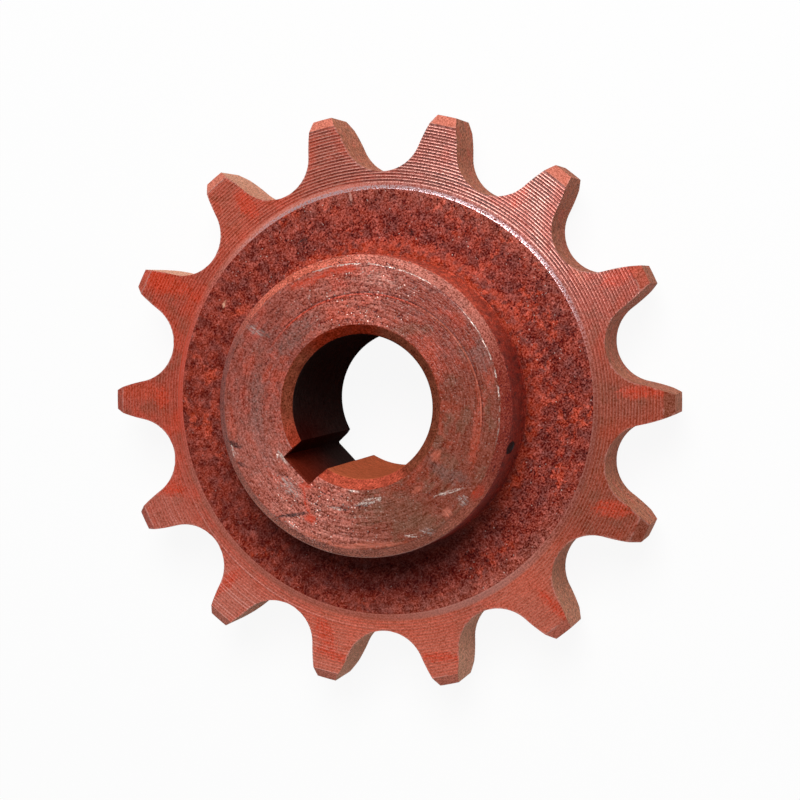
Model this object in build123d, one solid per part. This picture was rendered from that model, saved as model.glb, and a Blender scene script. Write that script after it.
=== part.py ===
from build123d import *
import os
from math import acos, cos, degrees, radians, sin

# Roller-chain sprocket, one forged and turned piece of steel, for a chain of one inch pitch.
# Millimetres. The bore lies along +Z. The short back boss rests on z = 0 and the hub's nose
# points up. The keyway is centred on the +X axis.

# Bore and keyway
BORE_DIAMETER = 30.0
BORE_CHAMFER_WIDTH = 2.1
BORE_CHAMFER_DEPTH = 1.8
BACK_BORE_CHAMFER = 1.45
KEYWAY_WIDTH = 8.0
KEYWAY_DEPTH_AT_NOSE = 4.3
KEYWAY_DEPTH_AT_BACK = 3.9
KEYWAY_CORNER_RADIUS = 0.3

# Hub: a long nose in front of the teeth, a short boss of the same diameter behind them
HUB_DIAMETER = 63.0
NOSE_LENGTH = 18.0
NOSE_CHAMFER_WIDTH = 2.0
NOSE_CHAMFER_LENGTH = 2.6
NOSE_FILLET_RADIUS = 3.0
BOSS_LENGTH = 5.0
BOSS_CHAMFER = 1.0
BOSS_FILLET_RADIUS = 2.0

# Web: left as forged, so it stands proud of the turned rim on both faces
WEB_RAISE = 0.8
WEB_DIAMETER = 91.2
SHOULDER_RUN = 1.4

# Toothed rim
TEETH = 14
TOOTH_WIDTH = 15.7
OUTSIDE_DIAMETER = 124.6
ROOT_DIAMETER = 98.7
TIP_BEVEL = 2.2
SEAT_RADIUS = 8.86
SEAT_HALF_ANGLE = 66.1
FLANK_RADIUS = 37.1
TOOTH_TO_KEYWAY_ANGLE = 7.3

# Levels along the bore, worked out from the lengths above
rim_back = BOSS_LENGTH
rim_front = rim_back + TOOTH_WIDTH
hub_face = rim_front + NOSE_LENGTH

bore_radius = BORE_DIAMETER / 2
hub_radius = HUB_DIAMETER / 2
web_radius = WEB_DIAMETER / 2
shoulder_radius = web_radius + SHOULDER_RUN
root_radius = ROOT_DIAMETER / 2
tip_radius = OUTSIDE_DIAMETER / 2


def corner_at(section, radius, height):
    """The corner of the half-section at a radius and a height, which are its own x and y."""
    return section.vertices().sort_by_distance((radius, height))[0]


def half_section():
    """Half of the turned blank's section, in the plane of the radius and the bore's axis."""
    outline = [
        (bore_radius + BACK_BORE_CHAMFER, 0),
        (hub_radius - BOSS_CHAMFER, 0),
        (hub_radius, BOSS_CHAMFER),
        (hub_radius, rim_back - WEB_RAISE),
        (web_radius, rim_back - WEB_RAISE),
        (shoulder_radius, rim_back),
        (tip_radius - TIP_BEVEL, rim_back),
        (tip_radius, rim_back + TIP_BEVEL),
        (tip_radius, rim_front - TIP_BEVEL),
        (tip_radius - TIP_BEVEL, rim_front),
        (shoulder_radius, rim_front),
        (web_radius, rim_front + WEB_RAISE),
        (hub_radius, rim_front + WEB_RAISE),
        (hub_radius, hub_face - NOSE_CHAMFER_LENGTH),
        (hub_radius - NOSE_CHAMFER_WIDTH, hub_face),
        (bore_radius + BORE_CHAMFER_WIDTH, hub_face),
        (bore_radius, hub_face - BORE_CHAMFER_DEPTH),
        (bore_radius, BACK_BORE_CHAMFER),
    ]
    with BuildSketch(Plane.XZ) as section:
        with BuildLine():
            Polyline(*outline, close=True)
        make_face()
        fillet(corner_at(section, hub_radius, rim_front + WEB_RAISE), NOSE_FILLET_RADIUS)
        fillet(corner_at(section, hub_radius, rim_back - WEB_RAISE), BOSS_FILLET_RADIUS)
    return section.sketch


def tooth_gap():
    """The gap between two teeth: a round roller seat, then a convex flank on each side.

    The flanks run on past the tip circle, so that the cut leaves no skin on the tips.
    """
    seat_centre = Vector(root_radius + SEAT_RADIUS, 0)
    seat_edge = Vector(-cos(radians(SEAT_HALF_ANGLE)), sin(radians(SEAT_HALF_ANGLE)))
    flank_centre = seat_centre + seat_edge * (SEAT_RADIUS + FLANK_RADIUS)
    clear_of_tips = tip_radius + TIP_BEVEL
    flank_sweep = SEAT_HALF_ANGLE - degrees(acos((clear_of_tips - flank_centre.X) / FLANK_RADIUS))
    with BuildSketch() as gap:
        with BuildLine():
            seat = CenterArc(seat_centre, SEAT_RADIUS, 180 - SEAT_HALF_ANGLE, 2 * SEAT_HALF_ANGLE)
            upper = CenterArc(flank_centre, FLANK_RADIUS, -SEAT_HALF_ANGLE, flank_sweep)
            lower_centre = Vector(flank_centre.X, -flank_centre.Y)
            lower = CenterArc(lower_centre, FLANK_RADIUS, SEAT_HALF_ANGLE, -flank_sweep)
            Line(upper @ 1, lower @ 1)
        make_face()
    return gap.sketch


def keyway_at(height, depth):
    """The keyway's section at one height, from the bore's axis out to its flat floor."""
    floor = bore_radius + depth
    with BuildSketch(Plane.XY.offset(height)) as slot:
        with Locations((floor / 2, 0)):
            Rectangle(floor, KEYWAY_WIDTH)
        floor_corners = slot.vertices().group_by(Axis.X)[-1]
        fillet(floor_corners, KEYWAY_CORNER_RADIUS)
    return slot.sketch


def keyway():
    """The space cut for a taper key: its floor falls away from the axis towards the nose."""
    with BuildPart() as slot:
        add(keyway_at(0, KEYWAY_DEPTH_AT_BACK))
        add(keyway_at(hub_face, KEYWAY_DEPTH_AT_NOSE))
        loft()
    return slot.part


def sprocket():
    """The whole part: the turned blank, less its tooth gaps and its keyway."""
    with BuildPart() as part:
        add(half_section())
        revolve(axis=Axis.Z)
        first_gap = TOOTH_TO_KEYWAY_ANGLE + 180 / TEETH
        with PolarLocations(0, TEETH, start_angle=first_gap):
            add(tooth_gap())
        extrude(amount=hub_face, mode=Mode.SUBTRACT)
        add(keyway(), mode=Mode.SUBTRACT)
    return part.part


os.makedirs("parts", exist_ok=True)
body = sprocket()
export_step(body, "parts/sprocket.step")
print(f"volume {body.volume / 1000:.1f} cm3")
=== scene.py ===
import logging
import math
import random
from contextlib import contextmanager
from dataclasses import dataclass, field
from enum import Enum
from typing import Callable, Iterator, Union

import bmesh
import bpy
from mathutils import Matrix, Vector


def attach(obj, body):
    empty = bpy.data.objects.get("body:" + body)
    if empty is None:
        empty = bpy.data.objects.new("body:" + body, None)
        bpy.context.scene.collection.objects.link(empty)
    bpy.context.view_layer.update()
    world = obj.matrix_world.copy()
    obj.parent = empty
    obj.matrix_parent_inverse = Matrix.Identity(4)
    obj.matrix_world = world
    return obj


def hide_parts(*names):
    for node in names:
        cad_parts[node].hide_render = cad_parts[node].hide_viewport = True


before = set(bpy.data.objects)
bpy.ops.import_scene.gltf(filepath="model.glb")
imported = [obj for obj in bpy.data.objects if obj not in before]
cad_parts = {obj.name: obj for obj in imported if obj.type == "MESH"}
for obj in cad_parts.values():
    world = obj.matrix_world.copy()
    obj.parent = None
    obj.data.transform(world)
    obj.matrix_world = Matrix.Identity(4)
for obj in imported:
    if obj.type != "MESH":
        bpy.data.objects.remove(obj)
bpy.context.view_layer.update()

# A roller-chain sprocket, dressed as one forged and turned piece of steel under a thin coat of
# red primer. The bore lies along +Z, the hub's nose points up and the keyway is on the +X side.
# Sizes are in metres, and finishes measure their patterns in millimetres.

MM = 0.001
SAME_PLACE = 0.001 * MM
DOUBLED = 0.002 * MM
NEARLY_ALL = 0.9
NODE = "sprocket"
log = logging.getLogger("sprocket")

Socket = bpy.types.NodeSocket
Value = Union[Socket, float, tuple]
Test = Callable[[Vector, Vector], bool]


# ---------------------------------------------------------------- working in edit mode


def work_on(piece: bpy.types.Object) -> None:
    """Makes a piece the only selected object, and the active one.

    Args:
        piece: the object that the next operators act on.
    """
    bpy.ops.object.select_all(action="DESELECT")
    piece.select_set(True)
    bpy.context.view_layer.objects.active = piece


@contextmanager
def editing(piece: bpy.types.Object, mode: str = "VERT") -> Iterator[None]:
    """Holds a piece in edit mode with nothing selected.

    Args:
        piece: the object to edit.
        mode: what is picked, one of VERT, EDGE and FACE.
    """
    work_on(piece)
    bpy.ops.object.mode_set(mode="EDIT")
    bpy.ops.mesh.select_mode(type=mode)
    bpy.ops.mesh.select_all(action="DESELECT")
    yield
    bpy.ops.object.mode_set(mode="OBJECT")


def pick(piece: bpy.types.Object, mode: str, test: Test) -> int:
    """Selects vertices, edges or faces of the piece in edit mode by their place and normal.

    Args:
        piece: the object in edit mode.
        mode: what is picked, one of VERT, EDGE and FACE.
        test: takes the middle and the normal (for an edge, its direction) and says if it is picked.

    Returns:
        How many were picked.
    """
    bpy.ops.mesh.select_mode(type=mode)
    bpy.ops.mesh.select_all(action="DESELECT")
    mesh = bmesh.from_edit_mesh(piece.data)
    picked = 0
    if mode == "VERT":
        parts = ((vertex, vertex.co, vertex.normal) for vertex in mesh.verts)
    elif mode == "EDGE":
        parts = (
            (edge, (edge.verts[0].co + edge.verts[1].co) / 2, edge.verts[1].co - edge.verts[0].co)
            for edge in mesh.edges
        )
    else:
        parts = ((face, face.calc_center_median(), face.normal) for face in mesh.faces)
    for part, place, direction in parts:
        if test(place, direction):
            part.select_set(True)
            picked += 1
    bmesh.update_edit_mesh(piece.data)
    return picked


def apply_modifier(piece: bpy.types.Object, kind: str, **settings: object) -> None:
    """Adds one modifier to a piece and applies it.

    Args:
        piece: the object that gets the modifier.
        kind: the modifier's type.
        settings: the modifier's values by name.
    """
    work_on(piece)
    modifier = piece.modifiers.new(kind.lower(), kind)
    for name, value in settings.items():
        setattr(modifier, name, value)
    bpy.ops.object.modifier_apply(modifier=modifier.name)


def put_in_order(mesh: bpy.types.Mesh) -> None:
    """Lists a mesh's vertices, faces and corners in a set order, without moving anything.

    Spin and extrude list them differently each run, and so would the cuts that follow.

    Args:
        mesh: a mesh with no groups, materials or smooth faces yet.
    """
    places = [tuple(vertex.co) for vertex in mesh.vertices]
    ranked = sorted(range(len(places)), key=places.__getitem__)
    rank = {index: number for number, index in enumerate(ranked)}
    faces = []
    for face in mesh.polygons:
        corners = [rank[index] for index in face.vertices]
        first = corners.index(min(corners))
        faces.append(corners[first:] + corners[:first])
    mesh.clear_geometry()
    mesh.from_pydata([places[index] for index in ranked], [], sorted(faces))


def face_outwards(piece: bpy.types.Object) -> None:
    """Merges doubled vertices, turns every face outwards and puts the mesh in order.

    Args:
        piece: a closed mesh.
    """
    with editing(piece):
        bpy.ops.mesh.select_all(action="SELECT")
        bpy.ops.mesh.remove_doubles(threshold=DOUBLED)
        bpy.ops.mesh.normals_make_consistent(inside=False)
    put_in_order(piece.data)


def reach(place: Vector) -> float:
    """The distance of a place from the bore's axis."""
    return math.hypot(place.x, place.y)


def subtract(piece: bpy.types.Object, cutter: bpy.types.Object) -> None:
    """Cuts one closed solid out of another and throws the cutter away.

    Args:
        piece: what is cut.
        cutter: the solid that is taken out.
    """
    apply_modifier(piece, "BOOLEAN", operation="DIFFERENCE", solver="MANIFOLD", object=cutter)
    bpy.data.objects.remove(cutter)


class Wire:
    """A wire drawn in edit mode from one vertex, as the outline of a turned or cut form.

    Its last vertex stays selected, and each call draws on from it.
    """

    def __init__(self, name: str, start: Vector) -> None:
        """Puts down the first vertex.

        Args:
            name: the name of the new object.
            start: where the wire begins.
        """
        bpy.ops.object.select_all(action="DESELECT")
        bpy.ops.mesh.primitive_plane_add(size=MM, location=start)
        self.piece = bpy.context.object
        self.piece.name = name
        bpy.ops.object.transform_apply(location=True)
        bpy.ops.object.mode_set(mode="EDIT")
        bpy.ops.mesh.select_mode(type="VERT")
        bpy.ops.mesh.select_all(action="SELECT")
        bpy.ops.mesh.merge(type="CENTER")
        self.start = start.copy()
        self.end = start.copy()

    def line(self, end: Vector, parts: int = 1) -> None:
        """Draws a straight run.

        Args:
            end: where the run ends.
            parts: how many equal edges it has.
        """
        step = (end - self.end) / parts
        for _ in range(parts):
            bpy.ops.mesh.extrude_vertices_move(TRANSFORM_OT_translate={"value": step})
        self.end = end.copy()

    def arc(self, centre: Vector, axis: Vector, angle: float, parts: int) -> None:
        """Draws a round run.

        Args:
            centre: the arc's centre.
            axis: the line that it turns about.
            angle: how far it turns, right-handed about the axis, in radians.
            parts: how many equal edges it has.
        """
        bpy.ops.mesh.spin(steps=parts, angle=-angle, center=centre, axis=axis)
        self.end = centre + Matrix.Rotation(angle, 3, axis) @ (self.end - centre)

    def grooves(self, end: Vector, into: Vector, pitch: float, depth: float, seed: int) -> None:
        """Draws a straight run cut by the tool of a lathe: each turn leaves one long and one short slope.

        The long slope faces away from the start where the depth is positive, and back to it where it
        is negative.

        Args:
            end: where the run ends.
            into: the direction that the tool cuts in, of length one.
            pitch: the tool's feed for each turn.
            depth: how deep a groove is, on the whole.
            seed: sets the small differences between the grooves.
        """
        draw = random.Random(seed)
        depths, bottoms = (0.75, 1.2), (0.68, 0.8)
        knee_place, knee_depth = 0.4, 0.6
        count = round((end - self.end).length / pitch)
        step = (end - self.end) / count
        for _ in range(count):
            crest = self.end.copy()
            bottom = abs(depth) * draw.uniform(*depths)
            reached = draw.uniform(*bottoms)
            turns = [(reached * knee_place, knee_depth), (reached, 1.0)]
            if depth < 0:
                turns = [(1 - share, part) for share, part in reversed(turns)]
            for share, part in turns:
                self.line(crest + step * share + into * bottom * part)
            self.line(crest + step)

    def close(self) -> bpy.types.Object:
        """Joins the end to the start and leaves edit mode.

        Returns:
            The finished wire's object.
        """
        bpy.ops.mesh.select_all(action="SELECT")
        bpy.ops.mesh.remove_doubles(threshold=SAME_PLACE)
        ends = (self.start, self.end)
        pick(self.piece, "VERT", lambda place, _: any((place - end).length < SAME_PLACE for end in ends))
        bpy.ops.mesh.edge_face_add()
        return self.leave()

    def leave(self) -> bpy.types.Object:
        """Leaves edit mode with the wire as it is."""
        bpy.ops.object.mode_set(mode="OBJECT")
        return self.piece


# ---------------------------------------------------------------- the sprocket's form


@dataclass
class Blank:
    """The turned blank before its teeth are cut: a hub, a forged web and a grooved rim.

    Radii are measured from the bore's axis, and heights from the boss's end face.
    """

    turns: int = 392
    bore_radius: float = 15.0 * MM
    bore_chamfer_width: float = 2.1 * MM
    bore_chamfer_depth: float = 1.8 * MM
    back_bore_chamfer: float = 1.45 * MM
    hub_radius: float = 31.5 * MM
    boss_chamfer: float = 1.0 * MM
    boss_fillet: float = 2.0 * MM
    nose_fillet: float = 3.0 * MM
    nose_chamfer_width: float = 2.0 * MM
    nose_chamfer_length: float = 2.6 * MM
    web_radius: float = 45.6 * MM
    web_raise: float = 0.8 * MM
    shoulder_radius: float = 47.0 * MM
    rim_back: float = 5.0 * MM
    rim_front: float = 20.7 * MM
    hub_face: float = 38.7 * MM
    tip_radius: float = 62.3 * MM
    tip_bevel: float = 2.2 * MM
    groove_pitch: float = 0.65 * MM
    groove_depth: float = 0.13 * MM
    corner_softness: float = 0.16 * MM

    def true_pitch(self) -> float:
        """The grooves' pitch, fitted to the width of the rim between its shoulder and its bevel."""
        width = self.tip_radius - self.tip_bevel - self.shoulder_radius
        return width / round(width / self.groove_pitch)

    def at(self, radius: float, height: float) -> Vector:
        """The section's point at a radius and a height."""
        return Vector((radius, 0, height))

    def draw_back(self, wire: Wire) -> None:
        """Draws the boss, the back of the web and the back of the rim.

        Args:
            wire: the section's wire, at the bore's back edge.
        """
        web = self.rim_back - self.web_raise
        wire.line(self.at(self.hub_radius - self.boss_chamfer, 0), parts=7)
        wire.line(self.at(self.hub_radius, self.boss_chamfer), parts=2)
        wire.line(self.at(self.hub_radius, web - self.boss_fillet), parts=2)
        centre = self.at(self.hub_radius + self.boss_fillet, web - self.boss_fillet)
        wire.arc(centre, Vector((0, 1, 0)), math.pi / 2, parts=4)
        wire.line(self.at(self.web_radius, web), parts=22)
        wire.line(self.at(self.shoulder_radius, self.rim_back), parts=3)
        inner_bevel = self.at(self.tip_radius - self.tip_bevel, self.rim_back)
        wire.grooves(inner_bevel, Vector((0, 0, 1)), self.groove_pitch, self.groove_depth, seed=5)

    def draw_tip(self, wire: Wire) -> None:
        """Draws the bevels and the top of the teeth.

        Args:
            wire: the section's wire, at the back bevel's inner edge.
        """
        wire.line(self.at(self.tip_radius, self.rim_back + self.tip_bevel), parts=3)
        wire.line(self.at(self.tip_radius, self.rim_front - self.tip_bevel), parts=8)
        wire.line(self.at(self.tip_radius - self.tip_bevel, self.rim_front), parts=3)

    def draw_front(self, wire: Wire) -> None:
        """Draws the front of the rim and of the web.

        Args:
            wire: the section's wire, at the front bevel's inner edge.
        """
        web = self.rim_front + self.web_raise
        fillet_start = self.hub_radius + self.nose_fillet
        shoulder = self.at(self.shoulder_radius, self.rim_front)
        wire.grooves(shoulder, Vector((0, 0, -1)), self.groove_pitch, -self.groove_depth, seed=8)
        wire.line(self.at(self.web_radius, web), parts=3)
        wire.line(self.at(fillet_start, web), parts=24)
        wire.arc(self.at(fillet_start, web + self.nose_fillet), Vector((0, 1, 0)), math.pi / 2, parts=7)

    def draw_nose(self, wire: Wire) -> None:
        """Draws the nose of the hub and the bore, back to the start.

        Args:
            wire: the section's wire, at the top of the nose's fillet.
        """
        wire.line(self.at(self.hub_radius, self.hub_face - self.nose_chamfer_length), parts=16)
        wire.line(self.at(self.hub_radius - self.nose_chamfer_width, self.hub_face), parts=4)
        wire.line(self.at(self.bore_radius + self.bore_chamfer_width, self.hub_face), parts=18)
        wire.line(self.at(self.bore_radius, self.hub_face - self.bore_chamfer_depth), parts=3)
        wire.line(self.at(self.bore_radius, self.back_bore_chamfer), parts=12)

    def soften_corners(self, piece: bpy.types.Object) -> None:
        """Rounds the section's turned corners a little, as filing and paint leave them.

        Args:
            piece: the closed section.
        """
        corners = [
            (self.hub_radius, self.boss_chamfer),
            (self.hub_radius - self.boss_chamfer, 0),
            (self.tip_radius, self.rim_back + self.tip_bevel),
            (self.tip_radius, self.rim_front - self.tip_bevel),
            (self.hub_radius, self.hub_face - self.nose_chamfer_length),
            (self.hub_radius - self.nose_chamfer_width, self.hub_face),
            (self.bore_radius + self.bore_chamfer_width, self.hub_face),
            (self.bore_radius, self.hub_face - self.bore_chamfer_depth),
            (self.bore_radius, self.back_bore_chamfer),
            (self.bore_radius + self.back_bore_chamfer, 0),
            (self.web_radius, self.rim_front + self.web_raise),
            (self.web_radius, self.rim_back - self.web_raise),
        ]
        points = [self.at(*corner) for corner in corners]
        with editing(piece):
            pick(piece, "VERT", lambda place, _: any((place - point).length < SAME_PLACE for point in points))
            bpy.ops.mesh.bevel(affect="VERTICES", offset=self.corner_softness, segments=2)

    def build(self, name: str) -> bpy.types.Object:
        """Draws the section and spins it round the bore's axis.

        Args:
            name: the new object's name.

        Returns:
            The closed blank.
        """
        wire = Wire(name, self.at(self.bore_radius + self.back_bore_chamfer, 0))
        self.draw_back(wire)
        self.draw_tip(wire)
        self.draw_front(wire)
        self.draw_nose(wire)
        piece = wire.close()
        self.soften_corners(piece)
        with editing(piece):
            bpy.ops.mesh.select_all(action="SELECT")
            bpy.ops.mesh.spin(steps=self.turns, angle=2 * math.pi, center=(0, 0, 0), axis=(0, 0, 1))
        face_outwards(piece)
        return piece


@dataclass
class ForgedSkin:
    """The rough skin that forging leaves on the web, in coarse lumps and fine scale."""

    lump_size: float = 2.6 * MM
    lump_height: float = 0.34 * MM
    scale_size: float = 0.9 * MM
    scale_height: float = 0.30 * MM
    margin: float = 0.25 * MM
    turned_fillet: float = 0.4

    def rough(self, piece: bpy.types.Object, blank: Blank) -> None:
        """Raises and sinks the web's skin on both faces.

        Args:
            piece: the blank.
            blank: the blank's sizes.
        """
        fillet_foot = blank.hub_radius + self.turned_fillet * blank.nose_fillet
        shoulder_top = blank.web_radius - self.margin
        with editing(piece):
            pick(piece, "VERT", lambda place, _: fillet_foot < reach(place) < shoulder_top)
            group = piece.vertex_groups.new(name="forged")
            bpy.ops.object.vertex_group_set_active(group=group.name)
            bpy.context.scene.tool_settings.vertex_group_weight = 1.0
            bpy.ops.object.vertex_group_assign()
        self.displace(piece, group.name, "CLOUDS", self.lump_size, self.lump_height)
        self.displace(piece, group.name, "STUCCI", self.scale_size, self.scale_height)

    def displace(
        self, piece: bpy.types.Object, group: str, kind: str, size: float, height: float
    ) -> None:
        """Moves the skin along its normals by one solid texture.

        Args:
            piece: the blank.
            group: the vertex group that moves.
            kind: the texture's type.
            size: how wide its lumps are.
            height: the whole range of the move.
        """
        texture = bpy.data.textures.new("skin_" + kind.lower(), kind)
        texture.noise_scale = size
        apply_modifier(
            piece,
            "DISPLACE",
            texture=texture,
            texture_coords="LOCAL",
            vertex_group=group,
            strength=height,
            mid_level=0.5,
        )


@dataclass
class ToothGaps:
    """The fourteen gaps between the teeth: a round roller seat with a convex flank on each side."""

    teeth: int = 14
    root_radius: float = 49.35 * MM
    seat_radius: float = 8.86 * MM
    seat_half_angle: float = math.radians(66.1)
    flank_radius: float = 37.1 * MM
    tooth_to_keyway: float = math.radians(7.3)
    wall_rows: int = 9
    overshoot: float = 2.2 * MM

    def seat_centre(self) -> Vector:
        """The middle of the roller seat of a gap on the +X axis."""
        return Vector((self.root_radius + self.seat_radius, 0, 0))

    def flank_centre(self) -> Vector:
        """The centre of that gap's flank arc, on the +Y side."""
        out = Vector((-math.cos(self.seat_half_angle), math.sin(self.seat_half_angle), 0))
        return self.seat_centre() + out * (self.seat_radius + self.flank_radius)

    def angles(self) -> list[float]:
        """Where the gaps are round the rim, in radians from the keyway."""
        pitch = 2 * math.pi / self.teeth
        return [self.tooth_to_keyway + pitch * (number + 0.5) for number in range(self.teeth)]

    def cutter(self, blank: Blank) -> bpy.types.Object:
        """Models one gap as a closed solid that stands through the rim.

        Args:
            blank: the blank's sizes.

        Returns:
            The cutter of a gap on the +X axis.
        """
        axis = Vector((0, 0, 1))
        sunk = Vector((0, 0, -MM))
        flank = self.flank_centre()
        clear = blank.tip_radius + self.overshoot
        sweep = self.seat_half_angle - math.acos((clear - flank.x) / self.flank_radius)
        wire = Wire("gap_cutter", Vector((self.root_radius, 0, 0)) + sunk)
        wire.arc(self.seat_centre() + sunk, axis, -self.seat_half_angle, parts=16)
        wire.arc(flank + sunk, axis, sweep, parts=14)
        piece = wire.leave()
        apply_modifier(piece, "MIRROR", use_axis=(False, True, False), merge_threshold=SAME_PLACE)
        with editing(piece):
            pick(piece, "VERT", lambda place, _: place.x > wire.end.x - SAME_PLACE)
            bpy.ops.mesh.edge_face_add()
            bpy.ops.mesh.select_all(action="SELECT")
            bpy.ops.mesh.edge_face_add()
            rise = blank.rim_front - sunk.z + MM
            bpy.ops.mesh.extrude_region_move(TRANSFORM_OT_translate={"value": (0, 0, rise)})
            pick(piece, "EDGE", lambda _, along: abs(along.z) > NEARLY_ALL * rise)
            bpy.ops.mesh.subdivide(number_cuts=self.wall_rows)
        face_outwards(piece)
        return piece

    def cut(self, piece: bpy.types.Object, blank: Blank) -> None:
        """Cuts every gap into the blank.

        Args:
            piece: the blank.
            blank: the blank's sizes.
        """
        first = self.cutter(blank)
        cutters = []
        for angle in self.angles():
            work_on(first)
            bpy.ops.object.duplicate()
            copy = bpy.context.object
            copy.rotation_euler.z = angle
            bpy.ops.object.transform_apply(rotation=True)
            cutters.append(copy)
        bpy.data.objects.remove(first)
        work_on(cutters[0])
        for copy in cutters:
            copy.select_set(True)
        bpy.ops.object.join()
        subtract(piece, cutters[0])


@dataclass
class Gouge:
    """A deep blow in the side of the nose, long along the bore's axis."""

    angle: float = math.radians(120.4)
    middle: float = 32.2 * MM
    length: float = 7.6 * MM
    width: float = 2.8 * MM
    depth: float = 0.8 * MM

    def cut(self, piece: bpy.types.Object, blank: Blank) -> None:
        """Cuts the gouge into the hub.

        Args:
            piece: the blank.
            blank: the blank's sizes.
        """
        bpy.ops.object.select_all(action="DESELECT")
        bpy.ops.mesh.primitive_ico_sphere_add(subdivisions=4, radius=1)
        cutter = bpy.context.object
        cutter.scale = (self.depth, self.width / 2, self.length / 2)
        bpy.ops.object.transform_apply(location=False, rotation=False, scale=True)
        cutter.location = (blank.hub_radius, 0, self.middle)
        bpy.ops.object.transform_apply(location=True, rotation=False, scale=False)
        cutter.rotation_euler.z = self.angle
        bpy.ops.object.transform_apply(location=False, rotation=True, scale=False)
        subtract(piece, cutter)


@dataclass
class Keyway:
    """The keyway for a taper key, cut along the bore on the +X side."""

    width: float = 8.0 * MM
    depth_at_nose: float = 4.3 * MM
    depth_at_back: float = 3.9 * MM
    corner: float = 0.3 * MM
    rows: int = 10

    def cut(self, piece: bpy.types.Object, blank: Blank) -> None:
        """Cuts the keyway into the hub.

        Args:
            piece: the blank.
            blank: the blank's sizes.
        """
        length = blank.hub_face + 2 * MM
        floor = blank.bore_radius + self.depth_at_nose
        bpy.ops.object.select_all(action="DESELECT")
        bpy.ops.mesh.primitive_cube_add(size=1, location=(floor / 2, 0, blank.hub_face / 2))
        cutter = bpy.context.object
        cutter.scale = (floor, self.width, length)
        bpy.ops.object.transform_apply(location=True, rotation=True, scale=True)
        taper = self.depth_at_back - self.depth_at_nose
        with editing(cutter):
            pick(cutter, "VERT", lambda place, _: place.x > NEARLY_ALL * floor and place.z < 0)
            bpy.ops.transform.translate(value=(taper, 0, 0))
            upright = NEARLY_ALL * length
            pick(cutter, "EDGE", lambda place, along: place.x > NEARLY_ALL * floor and abs(along.z) > upright)
            bpy.ops.mesh.bevel(affect="EDGES", offset=self.corner, segments=3)
            pick(cutter, "EDGE", lambda _, along: abs(along.z) > upright)
            bpy.ops.mesh.subdivide(number_cuts=self.rows)
        face_outwards(cutter)
        subtract(piece, cutter)


# ---------------------------------------------------------------- laying out shader nodes


def display(red: int, green: int, blue: int) -> tuple[float, float, float, float]:
    """Turns a colour as a screen shows it, 0 to 255, into the linear colour that a shader takes.

    Args:
        red: the red part.
        green: the green part.
        blue: the blue part.

    Returns:
        The linear colour with full alpha.
    """
    parts = [part / 255 for part in (red, green, blue)]
    linear = [part / 12.92 if part <= 0.04045 else ((part + 0.055) / 1.055) ** 2.4 for part in parts]
    return (*linear, 1.0)


class Tone(Enum):
    """The colours of the primer, of what is under it and of what lies on it, and of painted light and shade.
    """

    PRIMER = display(148, 62, 46)
    BROWN_PRIMER = display(128, 72, 52)
    HUB_BROWN = display(126, 60, 42)
    MAROON_PRIMER = display(132, 66, 56)
    FRESH_PRIMER = display(206, 66, 38)
    SIDE_PRIMER = display(130, 34, 14)
    TIP_SALMON = display(216, 124, 102)
    NOSE_ORANGE = display(206, 96, 70)
    NOSE_BROWN = display(132, 54, 38)
    SIDE_ORANGE = display(190, 74, 50)
    TAN_PRIMER = display(188, 116, 88)
    CREAM_PRIMER = display(238, 178, 148)
    SALMON_PRIMER = display(196, 104, 82)
    PALE_PRIMER = display(190, 104, 87)
    DARK_PRIMER = display(84, 26, 18)
    ROSE = display(206, 152, 140)
    NOSE_TAN = display(190, 104, 80)
    NOSE_ROSE = display(204, 124, 108)
    RIM_PRIMER = display(178, 76, 58)
    # A rubbed crest's pale colour, which is also a painted highlight.
    RUBBED_PRIMER = display(240, 190, 178)
    OLIVE_PRIMER = display(122, 80, 62)
    DULL_PINK = display(178, 104, 88)
    FORGED_RED = display(148, 58, 42)
    FORGED_ORANGE = display(188, 70, 44)
    FORGED_MAROON = display(116, 46, 36)
    DUSTY_PRIMER = display(146, 92, 84)
    SCALE = display(84, 20, 14)
    # Dark steel inside the bore, darkened further as painted shade.
    BORE_BLACK = display(52, 38, 36)
    BORE_DARK_RED = display(58, 18, 14)
    BORE_RED = display(206, 104, 68)
    CHAMFER_PINK = display(198, 88, 66)
    CHAMFER_RED = display(134, 42, 22)
    STEEL = display(238, 216, 206)
    GREY_STEEL = display(184, 160, 154)
    # Bare steel on the shoulder, whose pale colour is also a painted highlight.
    SHOULDER_STEEL = display(228, 200, 206)
    WORN_GREY = display(112, 86, 80)
    INK = display(14, 16, 22)


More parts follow.
